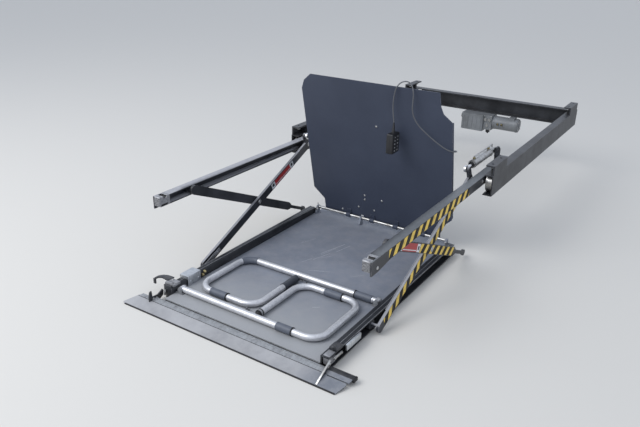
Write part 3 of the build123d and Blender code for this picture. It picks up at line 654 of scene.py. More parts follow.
pendantLook = {
    "case": (addBlock, (0.122, -0.322, 0.032), (0.1588, -0.247, 0.134), 0.005, 3),
    "seam": (addBlock, (0.1402, -0.322, 0.032), (0.1418, -0.247, 0.134), 0.0004, 1),
    "keyField": (addBlock, (0.156, -0.316, 0.037), (0.1593, -0.253, 0.128), 0.0015),
    "strainRelief": (addTurned, (0.141, -0.285, 0.1335), (0, 0, 1), [
        (0, 0), (0, 0.0092), (0.006, 0.0088),
        *ribs(7, 0.008, 0.0058, 0.0068, 0.008, (0.001, 0.0032, 0.0042), -0.0005),
        (0.054, 0.0036), (0.054, 0),
    ], 24),
}
keyLook = {
    "back": 0.158, "face": 0.1599, "middle": (-0.2845, 0.0825), "rowPitch": 0.0175, "columnPitch": 0.029,
    "half": (0.00825, 0.00525), "rounding": 0.0012, "print": 0.0002,
    # sides and radius of the mark on each row's keys, from the top
    "marks": ((3, 0.0048), (4, 0.0046), (20, 0.0042), (3, 0.0048), (4, 0.0046)),
}


def addKeys(bm, s):
    front = s["face"]
    for row, (sides, radius) in enumerate(s["marks"]):
        for column in (0, 1):
            y = s["middle"][0] + (column - 0.5) * s["columnPitch"]
            z = s["middle"][1] + (2 - row) * s["rowPitch"]
            halfY, halfZ = s["half"]
            low, high = (s["back"], y - halfY, z - halfZ), (front, y + halfY, z + halfZ)
            addBlock(bm, low, high, s["rounding"])
            turn = {3: math.pi * column, 4: math.pi / 4, 20: 0}[sides]
            place = Matrix.Translation((front, y, z)) @ Matrix.Rotation(math.pi / 2, 4, "Y")
            addPrism(bm, sides, radius, s["print"], place @ Matrix.Rotation(turn, 4, "Z"), 1)


cord = makeCord(cordSize)
plug = makePlug(plugLook)
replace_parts(plug, "cord_plug")
pendantShapes = {**pendantLook, "keys": (addKeys, keyLook)}
pendant = makePiece("handControl", "bridge", [blackPlastic, whiteInk], pendantShapes)
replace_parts(pendant, "pendant")
print("hand control and cord made")

# stage: pale floor, plain sky and one soft lamp

stageLook = {
    "floor": (0.62, 0.6, 0.56), "floorRough": 0.9, "floorSize": 40, "floorDrop": 0.0005,
    "sky": (0.8, 0.87, 1.0), "skyLevel": 0.9,
    "lampPower": 260, "lampSize": 4, "lampPlace": (-2.5, -4.5, 4.5), "lampAim": (0, -0.6, -0.3),
}


def makeStage(s):
    bm = bmesh.new()
    bmesh.ops.create_grid(bm, x_segments=1, y_segments=1, size=s["floorSize"])
    bmesh.ops.translate(bm, vec=(0, 0, floorZ - s["floorDrop"]), verts=bm.verts)
    mesh = bpy.data.meshes.new("paleFloor")
    bm.to_mesh(mesh)
    bm.free()
    floor = bpy.data.objects.new("paleFloor", mesh)
    scene.collection.objects.link(floor)
    pale = bpy.data.materials.new("paleFloor")
    pale.use_nodes = True
    shader = pale.node_tree.nodes["Principled BSDF"].inputs
    shader["Base Color"].default_value = opaque(s["floor"])
    shader["Roughness"].default_value = s["floorRough"]
    mesh.materials.append(pale)
    world = bpy.data.worlds.new("sky")
    scene.world = world
    world.use_nodes = True
    background = world.node_tree.nodes["Background"].inputs
    background["Color"].default_value = opaque(s["sky"])
    background["Strength"].default_value = s["skyLevel"]
    lamp = bpy.data.lights.new("softLamp", "AREA")
    lamp.energy = s["lampPower"]
    lamp.size = s["lampSize"]
    key = bpy.data.objects.new("softLamp", lamp)
    key.location = s["lampPlace"]
    key.rotation_euler = (Vector(s["lampAim"]) - key.location).to_track_quat("-Z", "Y").to_euler()
    scene.collection.objects.link(key)


makeStage(stageLook)
print("stage made")

# hazard tapes and plain labels on the arms

# tapes run along Y on the upper arms, from the foot on the inner arms and from the top end on the outer arms
tapeThick = 0.0003
upperMiddle = (upperArmZ[0] + upperArmZ[1]) / 2 - 0.0005
tapes = {
    "upperArmTape": {
        "body": "carriage", "from": -1.105, "to": -0.284, "width": 0.041,
        "place": Matrix.Translation((upperArmX[1] + tapeThick / 2, 0, upperMiddle)),
    },
    "innerArmTape": {
        "body": "inner_arms", "from": 0.03, "to": 0.93, "width": 0.042,
        "place": alongArm(armFoot, armPivot, innerArmX[1] + tapeThick / 2),
    },
    "outerArmTape": {
        "body": "outer_arms", "from": 0.36, "to": 0.815, "width": 0.042,
        "place": alongArm(outerTop, outerFoot, outerArmX[1] + tapeThick / 2),
    },
}


def addTape(bm, start, end, width):
    bmesh.ops.create_grid(bm, x_segments=max(1, int((end - start) / 0.02)), y_segments=2, size=0.5)
    flat = bm.loops.layers.uv.new("flat")
    for vert in bm.verts:
        vert.co = (0, start + (vert.co.x + 0.5) * (end - start), vert.co.y * width)
    for face in bm.faces:
        for loop in face.loops:
            loop[flat].uv = (loop.vert.co.y, loop.vert.co.z)
    bm.normal_update()
    bmesh.ops.solidify(bm, geom=list(bm.faces), thickness=tapeThick)


labelLook = {"thick": 0.0004, "half": 0.019, "square": 0.034, "dot": 0.0085, "print": (0.0002, 0.00056),
             "line": (0.006, 0.005, 0.009)}
labels = {
    "outerArmLabel": {
        "body": "outer_arms", "from": 0.125, "to": 0.355,
        "place": alongArm(outerTop, outerFoot, outerArmX[1]),
    },
    "innerArmLabel": {
        "body": "inner_arms", "from": 0.602, "to": 0.82,
        "place": alongArm(armFoot, armPivot, innerArmX[0]) @ mirror(-1),
    },
}


def addLabel(bm, start, end, s):
    # a white square with a dot at each end, a red middle and a white line along its foot
    half, thick = s["half"], s["thick"]
    left, right = start + s["square"], end - s["square"]
    for low, high, finish in ((start, left, 0), (right, end, 0), (left, right, 1)):
        addBlock(bm, (0, low, -half), (thick, high, half), finish=finish)
    low, high = s["print"]
    for middle in ((start + left) / 2, (right + end) / 2):
        addBlock(bm, (low, middle - s["dot"], -s["dot"]), (high, middle + s["dot"], s["dot"]), finish=2)
    inset, lineLow, lineHigh = s["line"]
    addBlock(bm, (low, left + inset, lineLow - half), (high, right - inset, lineHigh - half))


for side, word in reversed(bothSides):
    for name, s in tapes.items():
        shapes = {"strip": (addTape, s["from"], s["to"], s["width"])}
        makePiece(name + word, s["body"], [stripedTape], shapes, mirror(side) @ s["place"])
for side, word in reversed(bothSides):
    for name, s in labels.items():
        shapes = {"label": (addLabel, s["from"], s["to"], labelLook)}
        finishes = [whiteInk, redLabel, blackPlastic]
        makePiece(name + word, s["body"], finishes, shapes, mirror(side) @ s["place"])
print("tapes and labels made")

# fasteners

plateBolts = [(-0.246, 0.019), (-0.135, 0.063), (-0.089, 0.15), (-0.091, 0.122),
              (-0.034, 0.064), (0.019, 0.141), (0.097, 0.019), (0.013, 0.597)]
plateBoltHeads = [(x, plateFace, plateHinge.z + up) for x, up in plateBolts]
plateBoltNuts = [(x, plateFace + 0.004, plateHinge.z + up) for x, up in plateBolts]
plateBoltShapes = {
    "heads": (addEach, addDome, plateBoltHeads, (0, -1, 0), 0.0065, 0.0035),
    "nuts": (addEach, addHexBolt, plateBoltNuts, (0, 1, 0), 0.013, 0.007),
}
makePiece("plateBolts", "bridge", [zincSteel], plateBoltShapes, plateTurn)

hangers = {"x": 0.592, "y": (0, 1.485), "half": 0.06, "z": -0.008, "across": 0.022, "height": 0.014}
hangerBolts = [(side * hangers["x"], y + shift * hangers["half"], hangers["z"])
               for side, word in bothSides for y in hangers["y"] for shift in (-1, 1)]
hangerShapes = {"bolts": (addEach, addHexBolt, hangerBolts, (0, 0, -1), hangers["across"], hangers["height"])}
makePiece("hangerBolts", "guide_frame", [zincSteel], hangerShapes)

# caps over the pins, on both sides: place, the way they face, radius and height
pinCaps = {
    "outerArmCaps": ("outer_arms", ((outerArmX[1], armCross.y, armCross.z, 1, 0.013, 0.0035),)),
    "innerArmCaps": ("inner_arms", ((innerArmX[0] - 0.003, armCross.y, armCross.z, -1, 0.0117, 0.0035),
                                    (innerArmX[0], armPivot.y, armPivot.z, -1, 0.0117, 0.0035))),
    "upperArmBolts": ("carriage", ((upperArmX[1], -1.196, -0.102, 1, 0.007, 0.003),
                                   (upperArmX[1], armPivot.y, armPivot.z, 1, 0.009, 0.003))),
}
for name, (body, caps) in pinCaps.items():
    shapes = {(side, cap): (addDome, (side * cap[0], *cap[1:3]), (side * cap[3], 0, 0), *cap[4:])
              for side, word in bothSides for cap in caps}
    makePiece(name, body, [zincSteel], shapes)
print("fasteners made")

# outer corners: the latches, the box on the left rail and the ramp's levers

leftLatch = {
    "block": (addBlock, (-0.474, -1.298, -0.459), (-0.418, -1.252, -0.446), 0.0025, 2, 1),
    "groove": (addBlock, (-0.4746, -1.2825, -0.448), (-0.4174, -1.2795, -0.4454), 0.0003, 1, 0),
    "raised": (addBlock, (-0.468, -1.296, -0.446), (-0.428, -1.285, -0.443), 0.001, 2, 1),
    "riser": (addBlock, (-0.468, -1.312, -0.506), (-0.424, -1.299, -0.45), 0.003),
    "arm": (addCut, (
        (-0.468, -1.242), (-0.505, -1.244), (-0.527, -1.255), (-0.54, -1.274), (-0.541, -1.298),
        (-0.53, -1.3), (-0.528, -1.286), (-0.515, -1.277), (-0.496, -1.279), (-0.468, -1.284),
    ), "z", -0.45, -0.444, 0.0012),
    "tip": (addBlock, (-0.542, -1.306, -0.472), (-0.527, -1.299, -0.4445), 0.0025),
    "pin": (addRod, (-0.455, -1.322, -0.498), (-0.455, -1.316, -0.472), 0.0042, 16, 0.001, 2),
    "stud": (addDome, (-0.456, -1.264, -0.446), (0, 0, 1), 0.006, 0.004, 2),
}
rightLatch = {
    "block": (addBlock, (0.424, -1.298, -0.459), (0.462, -1.252, -0.447), 0.0025),
    "riser": (addBlock, (0.426, -1.346, -0.5), (0.458, -1.3, -0.456), 0.004, 2, 1),
    "knob": (addTurned, (0.446, -1.3, -0.447), (0, 0, 1),
             [(0, 0), (0, 0.008), (0.004, 0.009), (0.01, 0.009), (0.013, 0.006), (0.013, 0)], 24, 0),
    "link": (addBlock, (0.4625, -1.328, -0.477), (0.4705, -1.268, -0.465), 0.0025, 2, 2),
    "linkPins": (addEach, addDome, ((0.4705, -1.322, -0.471), (0.4705, -1.274, -0.471)), (1, 0, 0),
                 0.005, 0.0025, 2),
    "cover": (addBlock, (0.462, -1.236, -0.486), (0.4715, -1.124, -0.4585), 0.002, 2, 3),
}
latchFinishes = [blackPaintAndShade, wornSteelAndHighlight, zincSteel]
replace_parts(makePiece("latchLeft", "platform", latchFinishes, leftLatch), "latch_left")
latchFinishes = [blackPaintAndShade, wornSteelAndHighlight, zincSteel, brightAlloy]
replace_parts(makePiece("latchRight", "platform", latchFinishes, rightLatch), "latch_right")

# a folded sheet with a flange at each end
railBox = {
    "top": (addBlock, (-0.466, -1.209, -0.4455), (-0.4135, -1.124, -0.442), 0.0014),
    "sides": (addBlocks, (((-0.417, -1.209, -0.4895), (-0.4135, -1.124, -0.443)),
                          ((-0.466, -1.209, -0.4585), (-0.4625, -1.124, -0.443))), 0.0012, 2),
    "flanges": (addBlocks, [((-0.465, y, -0.458), (-0.4145, y + 0.0035, -0.443)) for y in (-1.209, -1.1275)],
                0.0008, 1),
    "rivets": (addEach, addDome, ((-0.4135, -1.192, -0.47175), (-0.4135, -1.141, -0.47175)), (1, 0, 0),
               0.0055, 0.003),
    "nuts": (addEach, addHexBolt, ((-0.4175, -1.108, -0.474), (-0.4195, -1.092, -0.464)), (1, 0, 0),
             0.013, 0.01, 1),
}
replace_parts(makePiece("railBox", "platform", [brightAlloy, dullBrass], railBox), "rail_box")

leverLook = {
    "Left": {
        "inner": 0.4655, "outer": 0.4715,
        "outline": ((-1.404, -0.506), (-1.405, -0.482), (-1.398, -0.453), (-1.387, -0.451), (-1.384, -0.482),
                    (-1.352, -0.485), (-1.322, -0.47), (-1.316, -0.478), (-1.32, -0.5), (-1.34, -0.512),
                    (-1.372, -0.509)),
        "bolts": ((-1.379, -0.4945), (-1.36, -0.498)), "more": {},
    },
    "Right": {
        "inner": 0.464, "outer": 0.47,
        "outline": ((-1.452, -0.5125), (-1.354, -0.461), (-1.3535, -0.489), (-1.372, -0.4955),
                    (-1.41, -0.503)),
        "bolts": ((-1.372, -0.482), (-1.362, -0.474)),
        "more": {
            "bar": (addBlock, (0.466, -1.3725, -0.506), (0.576, -1.346, -0.4925), 0.0012, 2, 0),
            "barEnd": (addBlock, (0.576, -1.3733, -0.5068), (0.586, -1.3452, -0.4917), 0.002, 2, 2),
            "edge": (addCut, ((-1.4525, -0.5115), (-1.3545, -0.46), (-1.3545, -0.4626), (-1.4525, -0.5141)),
                     "x", 0.4628, 0.4712, 0.0006, 1),
        },
    },
}


def makeLever(side, word, s):
    shapes = {"plate": (addCut, s["outline"], "x", s["inner"], s["outer"], 0.001)}
    for face, way in (("inner", -1), ("outer", 1)):
        places = [(s[face], y, z) for y, z in s["bolts"]]
        shapes[face + "Bolts"] = (addEach, addDome, places, (way, 0, 0), 0.0062, 0.0028, 1)
    finishes = [blackPaintAndShade, zincSteel, gasketAndShade]
    return makePiece("rampLever" + word, "outer_ramp", finishes, shapes | s["more"], mirror(side))


for side, word in bothSides:
    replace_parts(makeLever(side, word, leverLook[word]), "ramp_lever_" + word.lower())

# ramp along the outer edge: a wedge with a cut corner, its hinge barrels and the strip over the hinge

rampShape = {
    "outline": ((-0.536, -1.3735), (0.578, -1.3735), (0.574, -1.3935), (0.478, -1.3935), (0.478, -1.399),
                (0.567, -1.399), (0.57, -1.406), (0.553, -1.459), (-0.572, -1.459), (-0.5865, -1.45),
                (-0.551, -1.39)),
    "slope": (-1.3735, -0.492, -1.459, -0.515), "thick": (0.005, 0.003), "skin": 0.0004,
    "barrels": (-0.3, -0.1, 0.1, 0.3), "half": 0.07, "radius": 0.0075, "hinge": (-1.365, -0.499),
    # along X, along Y and finish of the strip, the groove and the lip on top; the near-black lip is painted
    # shadow under the front edge
    "skins": ((-0.539, 0.478, -1.374, -1.3925, 3), (-0.549, 0.478, -1.3925, -1.3945, 1),
              (-0.571, 0.5525, -1.454, -1.459, 1)),
}
hingeStrip = {"strip": (addBlock, (-0.462, -1.3733, -0.4918), (0.462, -1.364, -0.491), 0.0003, 1, 0)}


def makeRamp(s):
    bm = bmesh.new()
    yStart, zStart, yEnd, zEnd = s["slope"]
    near, far = s["thick"]

    def down(y):
        return (y - yStart) / (yEnd - yStart)

    def top(y):
        return zStart + down(y) * (zEnd - zStart)

    for vert in vertsOf(addCut(bm, s["outline"], "z", 0, 1)):
        y = vert.co.y
        vert.co.z = top(y) - (0 if vert.co.z > 0.5 else near + (far - near) * down(y))
    bm.normal_update()
    for face in bm.faces:
        # the outer edge's faces are near-black: painted shadow under the ramp's front edge
        face.material_index = 1 if face.normal.y < -0.6 and face.calc_center_median().y < -1.45 else 0
    y, z = s["hinge"]
    for x in s["barrels"]:
        addRod(bm, (x - s["half"], y, z), (x + s["half"], y, z), s["radius"], 24, 0.0008, 2)
    for xLow, xHigh, near, far, finish in s["skins"]:
        low, high = top(far), top(near)
        outline = ((near, high), (far, low), (far, low + s["skin"]), (near, high + s["skin"]))
        addCut(bm, outline, "x", xLow, xHigh, 0, finish)
    return addPiece(bm, "rampFlap", "outer_ramp", [rampCoating, gasketAndShade, zincSteel, wornDark])


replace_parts(makeRamp(rampShape), "ramp")
makePiece("hingeStrip", "platform", [wornDark], hingeStrip)

# CAD meshes copied and recut: the upper arms' deep outer ends, and the left rail that ends at its latch

upperArmShape = {"deepTo": -1.19, "slimFrom": -1.085, "slimLow": -0.1072, "deep": -0.11}
railShape = {
    "end": -1.311, "low": -0.4585, "yLow": -1.25, "yHigh": -0.12,
    # middle, half width and top of the thin light strips on each rail: a painted highlight along its outer
    # edge and a light line along its middle
    "strips": ((0.4588, 0.0008, -0.4568), (0.4395, 0.0008, -0.457)),
}


def copyNode(node):
    bm = bmesh.new()
    bm.from_mesh(nodes[node].data)
    bmesh.ops.remove_doubles(bm, verts=bm.verts, dist=1e-6)
    return bm


def bisect(bm, y, way, clear):
    geometry = bm.verts[:] + bm.edges[:] + bm.faces[:]
    cut = bmesh.ops.bisect_plane(
        bm, geom=geometry, dist=1e-6, plane_co=(0, y, 0), plane_no=(0, way, 0), clear_outer=clear
    )
    return [part for part in cut["geom_cut"] if isinstance(part, bmesh.types.BMEdge)]


def makeUpperArm(node, word, paint, s):
    bm = copyNode(node)
    for y in (s["deepTo"], s["slimFrom"]):
        bisect(bm, y, 1, False)
    for vert in bm.verts:
        if vert.co.z < s["deep"] and vert.co.y > s["slimFrom"] - 1e-4:
            vert.co.z = s["slimLow"]
    bmesh.ops.dissolve_degenerate(bm, dist=1e-6, edges=bm.edges)
    return addPiece(bm, "upperArm" + word, "carriage", [paint])


def makeLeftRail(s):
    bm = copyNode("side_rail_left")
    bmesh.ops.holes_fill(bm, edges=bisect(bm, s["end"], -1, True), sides=0)
    return addPiece(bm, "sideRailLeft", "platform", [railPaint])


# light strips along each rail's top; the outer one is a painted highlight
def makeRailStrips(side, word, s):
    blocks = [((x - half, s["yLow"], s["low"]), (x + half, s["yHigh"], top)) for x, half, top in s["strips"]]
    shapes = {"strips": (addBlocks, blocks, 0.0004, 2)}
    makePiece("railStrips" + word, "platform", [wornSteelAndHighlight], shapes, mirror(side))


for node, word, paint in (("upper_arm_left", "Left", armPaint), ("upper_arm_right", "Right", armPaintLessSheen)):
    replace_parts(makeUpperArm(node, word, paint, upperArmShape), node)
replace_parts(makeLeftRail(railShape), "side_rail_left")
for side, word in bothSides:
    makeRailStrips(side, word, railShape)
print("corners and ramp details made")

# handrail sleeves, grip and end cap

sleeveLook = {
    "radius": 0.018, "ring": 0.0195, "ringWidth": 0.0045, "z": -0.4717, "bore": 0.0152, "sides": 40,
    # start, end, place along Y, and the end that the black ring sits on
    "front_rail": ((0.145, 0.223, -1.266, 1), (0.158, 0.248, -0.911, 1)),
    "rear_rail": ((0.284, 0.37, -0.85, -1), (-0.272, -0.18, -1.205, 1)),
    "bendMiddle": (-0.277, -0.925), "bend": 0.075, "bendFrom": 93, "bendTo": 158, "bendSteps": 12,
    "bendSides": 32,
}


def addSleeve(bm, start, end, y, ringSide, s):
    # the sleeve's wall, with a groove beside each rim
    r, b, z = s["radius"], s["bore"], s["z"]
    length = end - start
    rim = [(0.0012, r), (0.006, r), (0.0066, r - 0.0006), (0.0078, r - 0.0006), (0.0084, r)]
    wall = [(0, b), (0, r - 0.0012), *rim, *((length - along, radius) for along, radius in reversed(rim)),
            (length, r - 0.0012), (length, b), (0, b)]
    addTurned(bm, (start, y, z), (1, 0, 0), wall, s["sides"], 0)
    width, top = s["ringWidth"], z + s["ring"]
    edge = end if ringSide > 0 else start - width
    addTurned(bm, (edge, y, z), (1, 0, 0), ring(b, s["ring"], width, 0.001), s["sides"], 1)
    addBlock(bm, (edge, y - 0.003, top - 0.002), (edge + width, y + 0.003, top + 0.002), 0.001, 1, 1)


def addBentSleeve(bm, s):
    # two circles round the tube where the bend starts, spun round the bend's middle and bridged at both ends
    middle = Vector((*s["bendMiddle"], s["z"]))
    known = set(bm.faces)
    start = Matrix.Translation(middle) @ Matrix.Rotation(math.radians(s["bendFrom"]), 4, "Z")
    place = start @ Matrix.Translation((s["bend"], 0, 0)) @ Matrix.Rotation(math.pi / 2, 4, "X")
    angle = math.radians(s["bendTo"] - s["bendFrom"])
    firstEdges, lastEdges, circles = [], [], []
    for radius in (s["radius"], s["bore"]):
        verts = bmesh.ops.create_circle(bm, segments=s["bendSides"], radius=radius, matrix=place)["verts"]
        circles.append((verts, list({edge for vert in verts for edge in vert.link_edges})))
    for verts, edges in circles:
        last = bmesh.ops.spin(bm, geom=verts + edges, cent=middle, axis=(0, 0, 1), dvec=(0, 0, 0),
                              angle=angle, steps=s["bendSteps"], use_duplicate=False)["geom_last"]
        firstEdges += edges
        lastEdges += [part for part in last if isinstance(part, bmesh.types.BMEdge)]
    bmesh.ops.bridge_loops(bm, edges=firstEdges)
    bmesh.ops.bridge_loops(bm, edges=lastEdges)
    bmesh.ops.recalc_face_normals(bm, faces=finishNew(bm, known, 0))


def makeSleeves(word, body, s):
    bm = bmesh.new()
    for sleeve in s[body]:
        addSleeve(bm, *sleeve, s)
    if word == "rear":
        addBentSleeve(bm, s)
    return addPiece(bm, word + "Sleeves", body, [greyPlastic, gasketAndShade])


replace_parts(makeSleeves("front", "front_rail", sleeveLook), "handrail_front_sleeves")
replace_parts(makeSleeves("rear", "rear_rail", sleeveLook), "handrail_rear_sleeves")

gripProfile = [
    (0, 0), (0, 0.011), (0.0015, 0.0145), (0.004, 0.0165), (0.007, 0.0165), (0.007, 0.0172),
    *ribs(15, 0.01, 0.006, 0.0172, 0.018, (0.0008, 0.0032, 0.004)),
    (0.1055, 0.0172), (0.1055, 0.0182), (0.1105, 0.0182), (0.1115, 0.0172), (0.1115, 0.0152),
]
rearGrip = {
    "grip": (addTurned, (-0.025, -0.8785, sleeveLook["z"]), (0, -1, 0), gripProfile, 40, 0),
    "button": (addDome, (-0.025, -0.879, sleeveLook["z"]), (0, 1, 0), 0.009, 0.0012, 1),
}
grip = makePiece("rearGrip", "rear_rail", [darkGrip, zincSteel], rearGrip)
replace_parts(grip, "handrail_rear_grip")

capLook = {
    "x": 0.025, "start": -1.218, "worn": (0.006, 0.015),        # the worn collar, from the start
    "profile": [(0, 0.0152), (0, 0.017), (0.005, 0.0172), (0.006, 0.016), (0.015, 0.0158), (0.016, 0.0172),
                (0.019, 0.0172), (0.02, 0.013), (0.027, 0.0125), (0.029, 0.011), (0.03, 0.009),
                (0.03, 0)],
}


def makeCap(s):
    bm = bmesh.new()
    addTurned(bm, (s["x"], s["start"], sleeveLook["z"]), (0, -1, 0), s["profile"], 40)
    for face in bm.faces:
        along = s["start"] - face.calc_center_median().y
        face.material_index = 1 if s["worn"][0] < along < s["worn"][1] else 0
    return addPiece(bm, "frontCap", "front_rail", [gasketAndShade, wornSteelAndHighlight])


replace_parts(makeCap(capLook), "handrail_front_cap")
print("handrail fittings made")

# cast ends of the upper arms: near-black sheets as painted shade in the notch and in the recess below, and
# the pitted end face

notch = {"y": -1.209, "z": -0.0612, "outer": 0.0108, "inner": 0.0098, "angles": range(180, 361, 20)}


def notchPoint(radius, degrees):
    angle = math.radians(degrees)
    return notch["y"] + radius * math.cos(angle), notch["z"] + radius * math.sin(angle)


notchShadeOutline = [notchPoint(notch["outer"], a) for a in notch["angles"]]
notchShadeOutline += [notchPoint(notch["inner"], a) for a in reversed(notch["angles"])]
armCapFittings = {
    "notchShade": (addCut, notchShadeOutline, "x", 0.5255, 0.5545, 0, 0),
    "endFace": (addBlock, (0.5235, -1.2438, -0.1055), (0.557, -1.2425, -0.064), 0.0006, 1, 1),
    "recessShade": (addBlock, (0.5215, -1.236, -0.106), (0.5235, -1.196, -0.096), 0.0006, 1, 0),
    "rims": (addBlocks, [((0.524, y, -0.0625), (0.556, y + 0.002, -0.0605)) for y in (-1.1975, -1.2225)],
             0.0004, 1, 2),
}
for side, word in bothSides:
    finishes = [gasketAndShade, pittedCast, castAlloy]
    makePiece("armCapFittings" + word, "carriage", finishes, armCapFittings, mirror(side))
print("arm ends made")

# clips that the folded rails lie in, and scuffs that wheels and shoes have left on the deck

clips = (
    ((-0.051, -0.871), (-0.003, -0.857)), ((0.006, -0.8715), (0.039, -0.8675)),
    ((-0.058, -1.224), (-0.034, -1.212)),
)


def addClip(bm, clip):
    low, high = clip
    addBlock(bm, (*low, deckZ - 0.0002), (*high, deckZ + 0.003), 0.0008)
    addBlock(bm, (*low, deckZ + 0.001), (low[0] + 0.004, high[1], deckZ + 0.013), 0.0008)
    rivet = ((low[0] + high[0]) / 2 + 0.003, (low[1] + high[1]) / 2, deckZ + 0.003)
    addDome(bm, rivet, (0, 0, 1), 0.0045, 0.003, 1)


makePiece("railClips", "platform", [wornSteelAndHighlight, gasketAndShade], {"clips": (addEach, addClip, clips)})

# from, to and width of each scuff
scuffs = (
    (-0.094, -0.566, -0.047, -0.398, 0.003), (-0.084, -0.575, -0.06, -0.47, 0.002),
    (-0.088, -0.646, -0.054, -0.538, 0.0022), (-0.038, -0.505, -0.015, -0.401, 0.0024),
    (-0.07, -0.61, -0.03, -0.56, 0.0016), (-0.041, -0.757, 0.03, -0.722, 0.0022),
    (-0.02, -0.74, 0.054, -0.709, 0.0014), (-0.12, -0.7, -0.1, -0.64, 0.0018),
    (0.168, -1.034, 0.196, -1.015, 0.003), (0.16, -0.7, 0.21, -0.64, 0.0014),
    (-0.25, -0.52, -0.215, -0.43, 0.0014), (0.1, -0.43, 0.118, -0.36, 0.0016),
)


def addScuff(bm, scuff):
    x1, y1, x2, y2, width = scuff
    way = Vector((x2 - x1, y2 - y1, 0))
    middle = Matrix.Translation(((x1 + x2) / 2, (y1 + y2) / 2, deckZ + 0.00005))
    made = addBlock(bm, (-way.length / 2, -width / 2, -0.0001), (way.length / 2, width / 2, 0.0001), 0, 1, 0)
    place = middle @ Matrix.Rotation(math.atan2(way.y, way.x), 4, "Z")
    bmesh.ops.transform(bm, matrix=place, verts=vertsOf(made))


makePiece("deckScuffs", "platform", [paleScuff], {"scuffs": (addEach, addScuff, scuffs)})

# small parts at the arms' lower ends, in each arm's own frame, and at the plate's hinge

armFootPlates = {
    "plate": (addBlock, (-0.0065, -0.02, -0.012), (-0.002, 0.118, 0.012), 0.0015),
    "pins": (addEach, addDome, ((-0.0065, 0, 0), (-0.0065, 0.095, 0)), (-1, 0, 0), 0.0075, 0.003, 0),
}
armFlange = {"flange": (addBlock, (-0.0038, 0.075, 0.018), (0.0002, 0.9, 0.0248), 0.0012, 2, 0)}
outerArmTaper = {
    "end": (addCut, ((0.814, -0.0225), (0.85, -0.015), (0.85, 0.015), (0.814, 0.0225)), "x", 0.0005, 0.0115,
            0.0015),
}
hingeEnd = {
    "knob": (addDome, (-0.406, -0.128, -0.4625), (0, -1, 0), 0.008, 0.007, 0),
    "post": (addBlock, (-0.402, -0.132, -0.456), (-0.398, -0.128, -0.42), 0.001, 2, 1),
    "bolts": (addEach, addDome,
              ((0.4135, -0.1355, -0.4555), (0.4135, -0.1355, -0.475), (-0.4135, -0.1355, -0.4555)),
              (0, -1, 0), 0.006, 0.004, 0),
}
for side, word in bothSides:
    inner = mirror(side) @ alongArm(armFoot, armPivot, innerArmX[0])
    outer = mirror(side) @ alongArm(outerTop, outerFoot, outerArmX[0])
    makePiece("armFootPlates" + word, "inner_arms", [wornSteelAndHighlight], armFootPlates, inner)
    makePiece("armFlange" + word, "inner_arms", [armPaint], armFlange, inner)
    makePiece("outerArmTaper" + word, "outer_arms", [blackPaintAndShade], outerArmTaper, outer)
makePiece("hingeEndFittings", "platform", [zincSteel, wornSteelAndHighlight], hingeEnd)
print("clips, scuffs and small ends made")

# hydraulic pack: ribs, filler cap, plugs, ports, valve, motor bands and through bolts

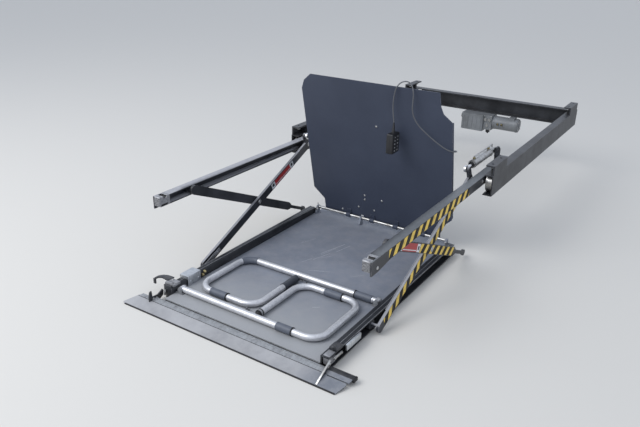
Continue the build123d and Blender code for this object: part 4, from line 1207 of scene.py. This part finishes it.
motor = {"y": 1.525, "z": -0.214, "radius": 0.048, "end": 0.245, "boltReach": 0.0375 * 0.7071}
motorSide = motor["y"] - motor["radius"]
packFittings = {
    "ribs": (addBlocks, [((x - 0.003, 1.4475, -0.262), (x + 0.003, 1.4515, -0.176))
                         for x in (-0.148, -0.115, -0.082, -0.049, -0.016)], 0.0012, 2, 0),
    "filler": (addTurned, (-0.165, 1.5, -0.19), (-1, 0, 0), [
        (0, 0), (0, 0.013), (0.003, 0.013), (0.004, 0.019), (0.012, 0.019), (0.014, 0.017), (0.014, 0),
    ], 32, 2),
    "drain": (addHexBolt, (-0.0825, 1.525, -0.278), (0, 0, -1), 0.019, 0.008, 1),
    "gauge": (addBlock, (-0.1655, 1.556, -0.252), (-0.1625, 1.568, -0.19), 0.001, 2, 3),
    "ports": (addEach, addHexBolt, (
        (0.012, 1.4725, -0.192), (0.044, 1.4725, -0.192), (0.028, 1.4725, -0.232),
    ), (0, -1, 0), 0.019, 0.011, 1),
    "screws": (addEach, addDome, [(x, 1.4725, z) for x in (0.002, 0.054) for z in (-0.166, -0.258)],
               (0, -1, 0), 0.005, 0.003, 1),
    "valve": (addTurned, (0.0275, 1.505, -0.266), (0, 0, -1), [
        (0, 0), (0, 0.015), (0.022, 0.015), (0.024, 0.013), (0.024, 0.006), (0.032, 0.006), (0.032, 0),
    ], 28, 2),
    "bands": (addEach, addTurned, [(x, motor["y"], motor["z"]) for x in (0.066, 0.228)], (1, 0, 0),
              ring(motor["radius"] - 0.001, motor["radius"] + 0.0018, 0.01), 48, 0),
    "motorEnd": (addTurned, (motor["end"], motor["y"], motor["z"]), (1, 0, 0), [
        (0, 0), (0, 0.044), (0.003, 0.042), (0.003, 0.014), (0.008, 0.012), (0.008, 0)], 48, 0),
    "throughBolts": (addEach, addHexBolt, [
        (motor["end"], motor["y"] + across * motor["boltReach"], motor["z"] + up * motor["boltReach"])
        for across in (-1, 1) for up in (-1, 1)], (1, 0, 0), 0.008, 0.007, 1),
    "studs": (addEach, addTurned, [(x, motorSide + 0.0006, motor["z"]) for x in (0.105, 0.135)], (0, -1, 0), [
        (0, 0), (0, 0.009), (0.004, 0.009), (0.004, 0.004), (0.016, 0.004), (0.016, 0)], 20, 2),
    "studNuts": (addEach, addHexBolt, [(x, motorSide - 0.004, motor["z"]) for x in (0.105, 0.135)],
                 (0, -1, 0), 0.012, 0.005, 4),
}
packFinishes = [greyPaint, zincSteel, blackPlastic, brightAlloy, dullBrass]
makePiece("packFittings", "guide_frame", packFinishes, packFittings)

# lift cylinders: bands and gland ring, port nuts and a pipe along the barrel to the tail block

axisX, axisZ = 0.48, -0.027
pipe = {"radius": 0.0032, "from": -0.026, "to": 0.237, "rise": 0.009}


def addPipe(bm, s):
    # up from the port, along the barrel and down into the tail block
    r, start, end, rise = s["radius"], s["from"], s["to"], s["rise"]
    addRod(bm, (axisX, start, 0.003), (axisX, start, rise), r, 16, 0.0004, 0)
    addRod(bm, (axisX, start - r, rise), (axisX, end + r, rise), r, 16, 0.001, 0)
    addRod(bm, (axisX, end, rise), (axisX, end, -0.006), r, 16, 0.0004, 0)


cylinderFittings = {
    "bands": (addEach, addTurned, [(axisX, y, axisZ) for y in (-0.044, 0.192)], (0, 1, 0),
              ring(0.02, 0.0222, 0.006), 40, 0),
    "gland": (addTurned, (axisX, -0.058, axisZ), (0, 1, 0), ring(0.0089, 0.0155, 0.003), 40, 2),
    "ports": (addEach, addHexBolt, [(axisX, y, -0.001) for y in (-0.026, 0.18)], (0, 0, 1), 0.014, 0.006, 1),
    "pipe": (addPipe, pipe),
}
for side, word in bothSides:
    finishes = [zincSteel, dullBrass, blackPlastic]
    makePiece("cylinderFittings" + word, "carriage", finishes, cylinderFittings, mirror(side))
print("pack and cylinder fittings made")
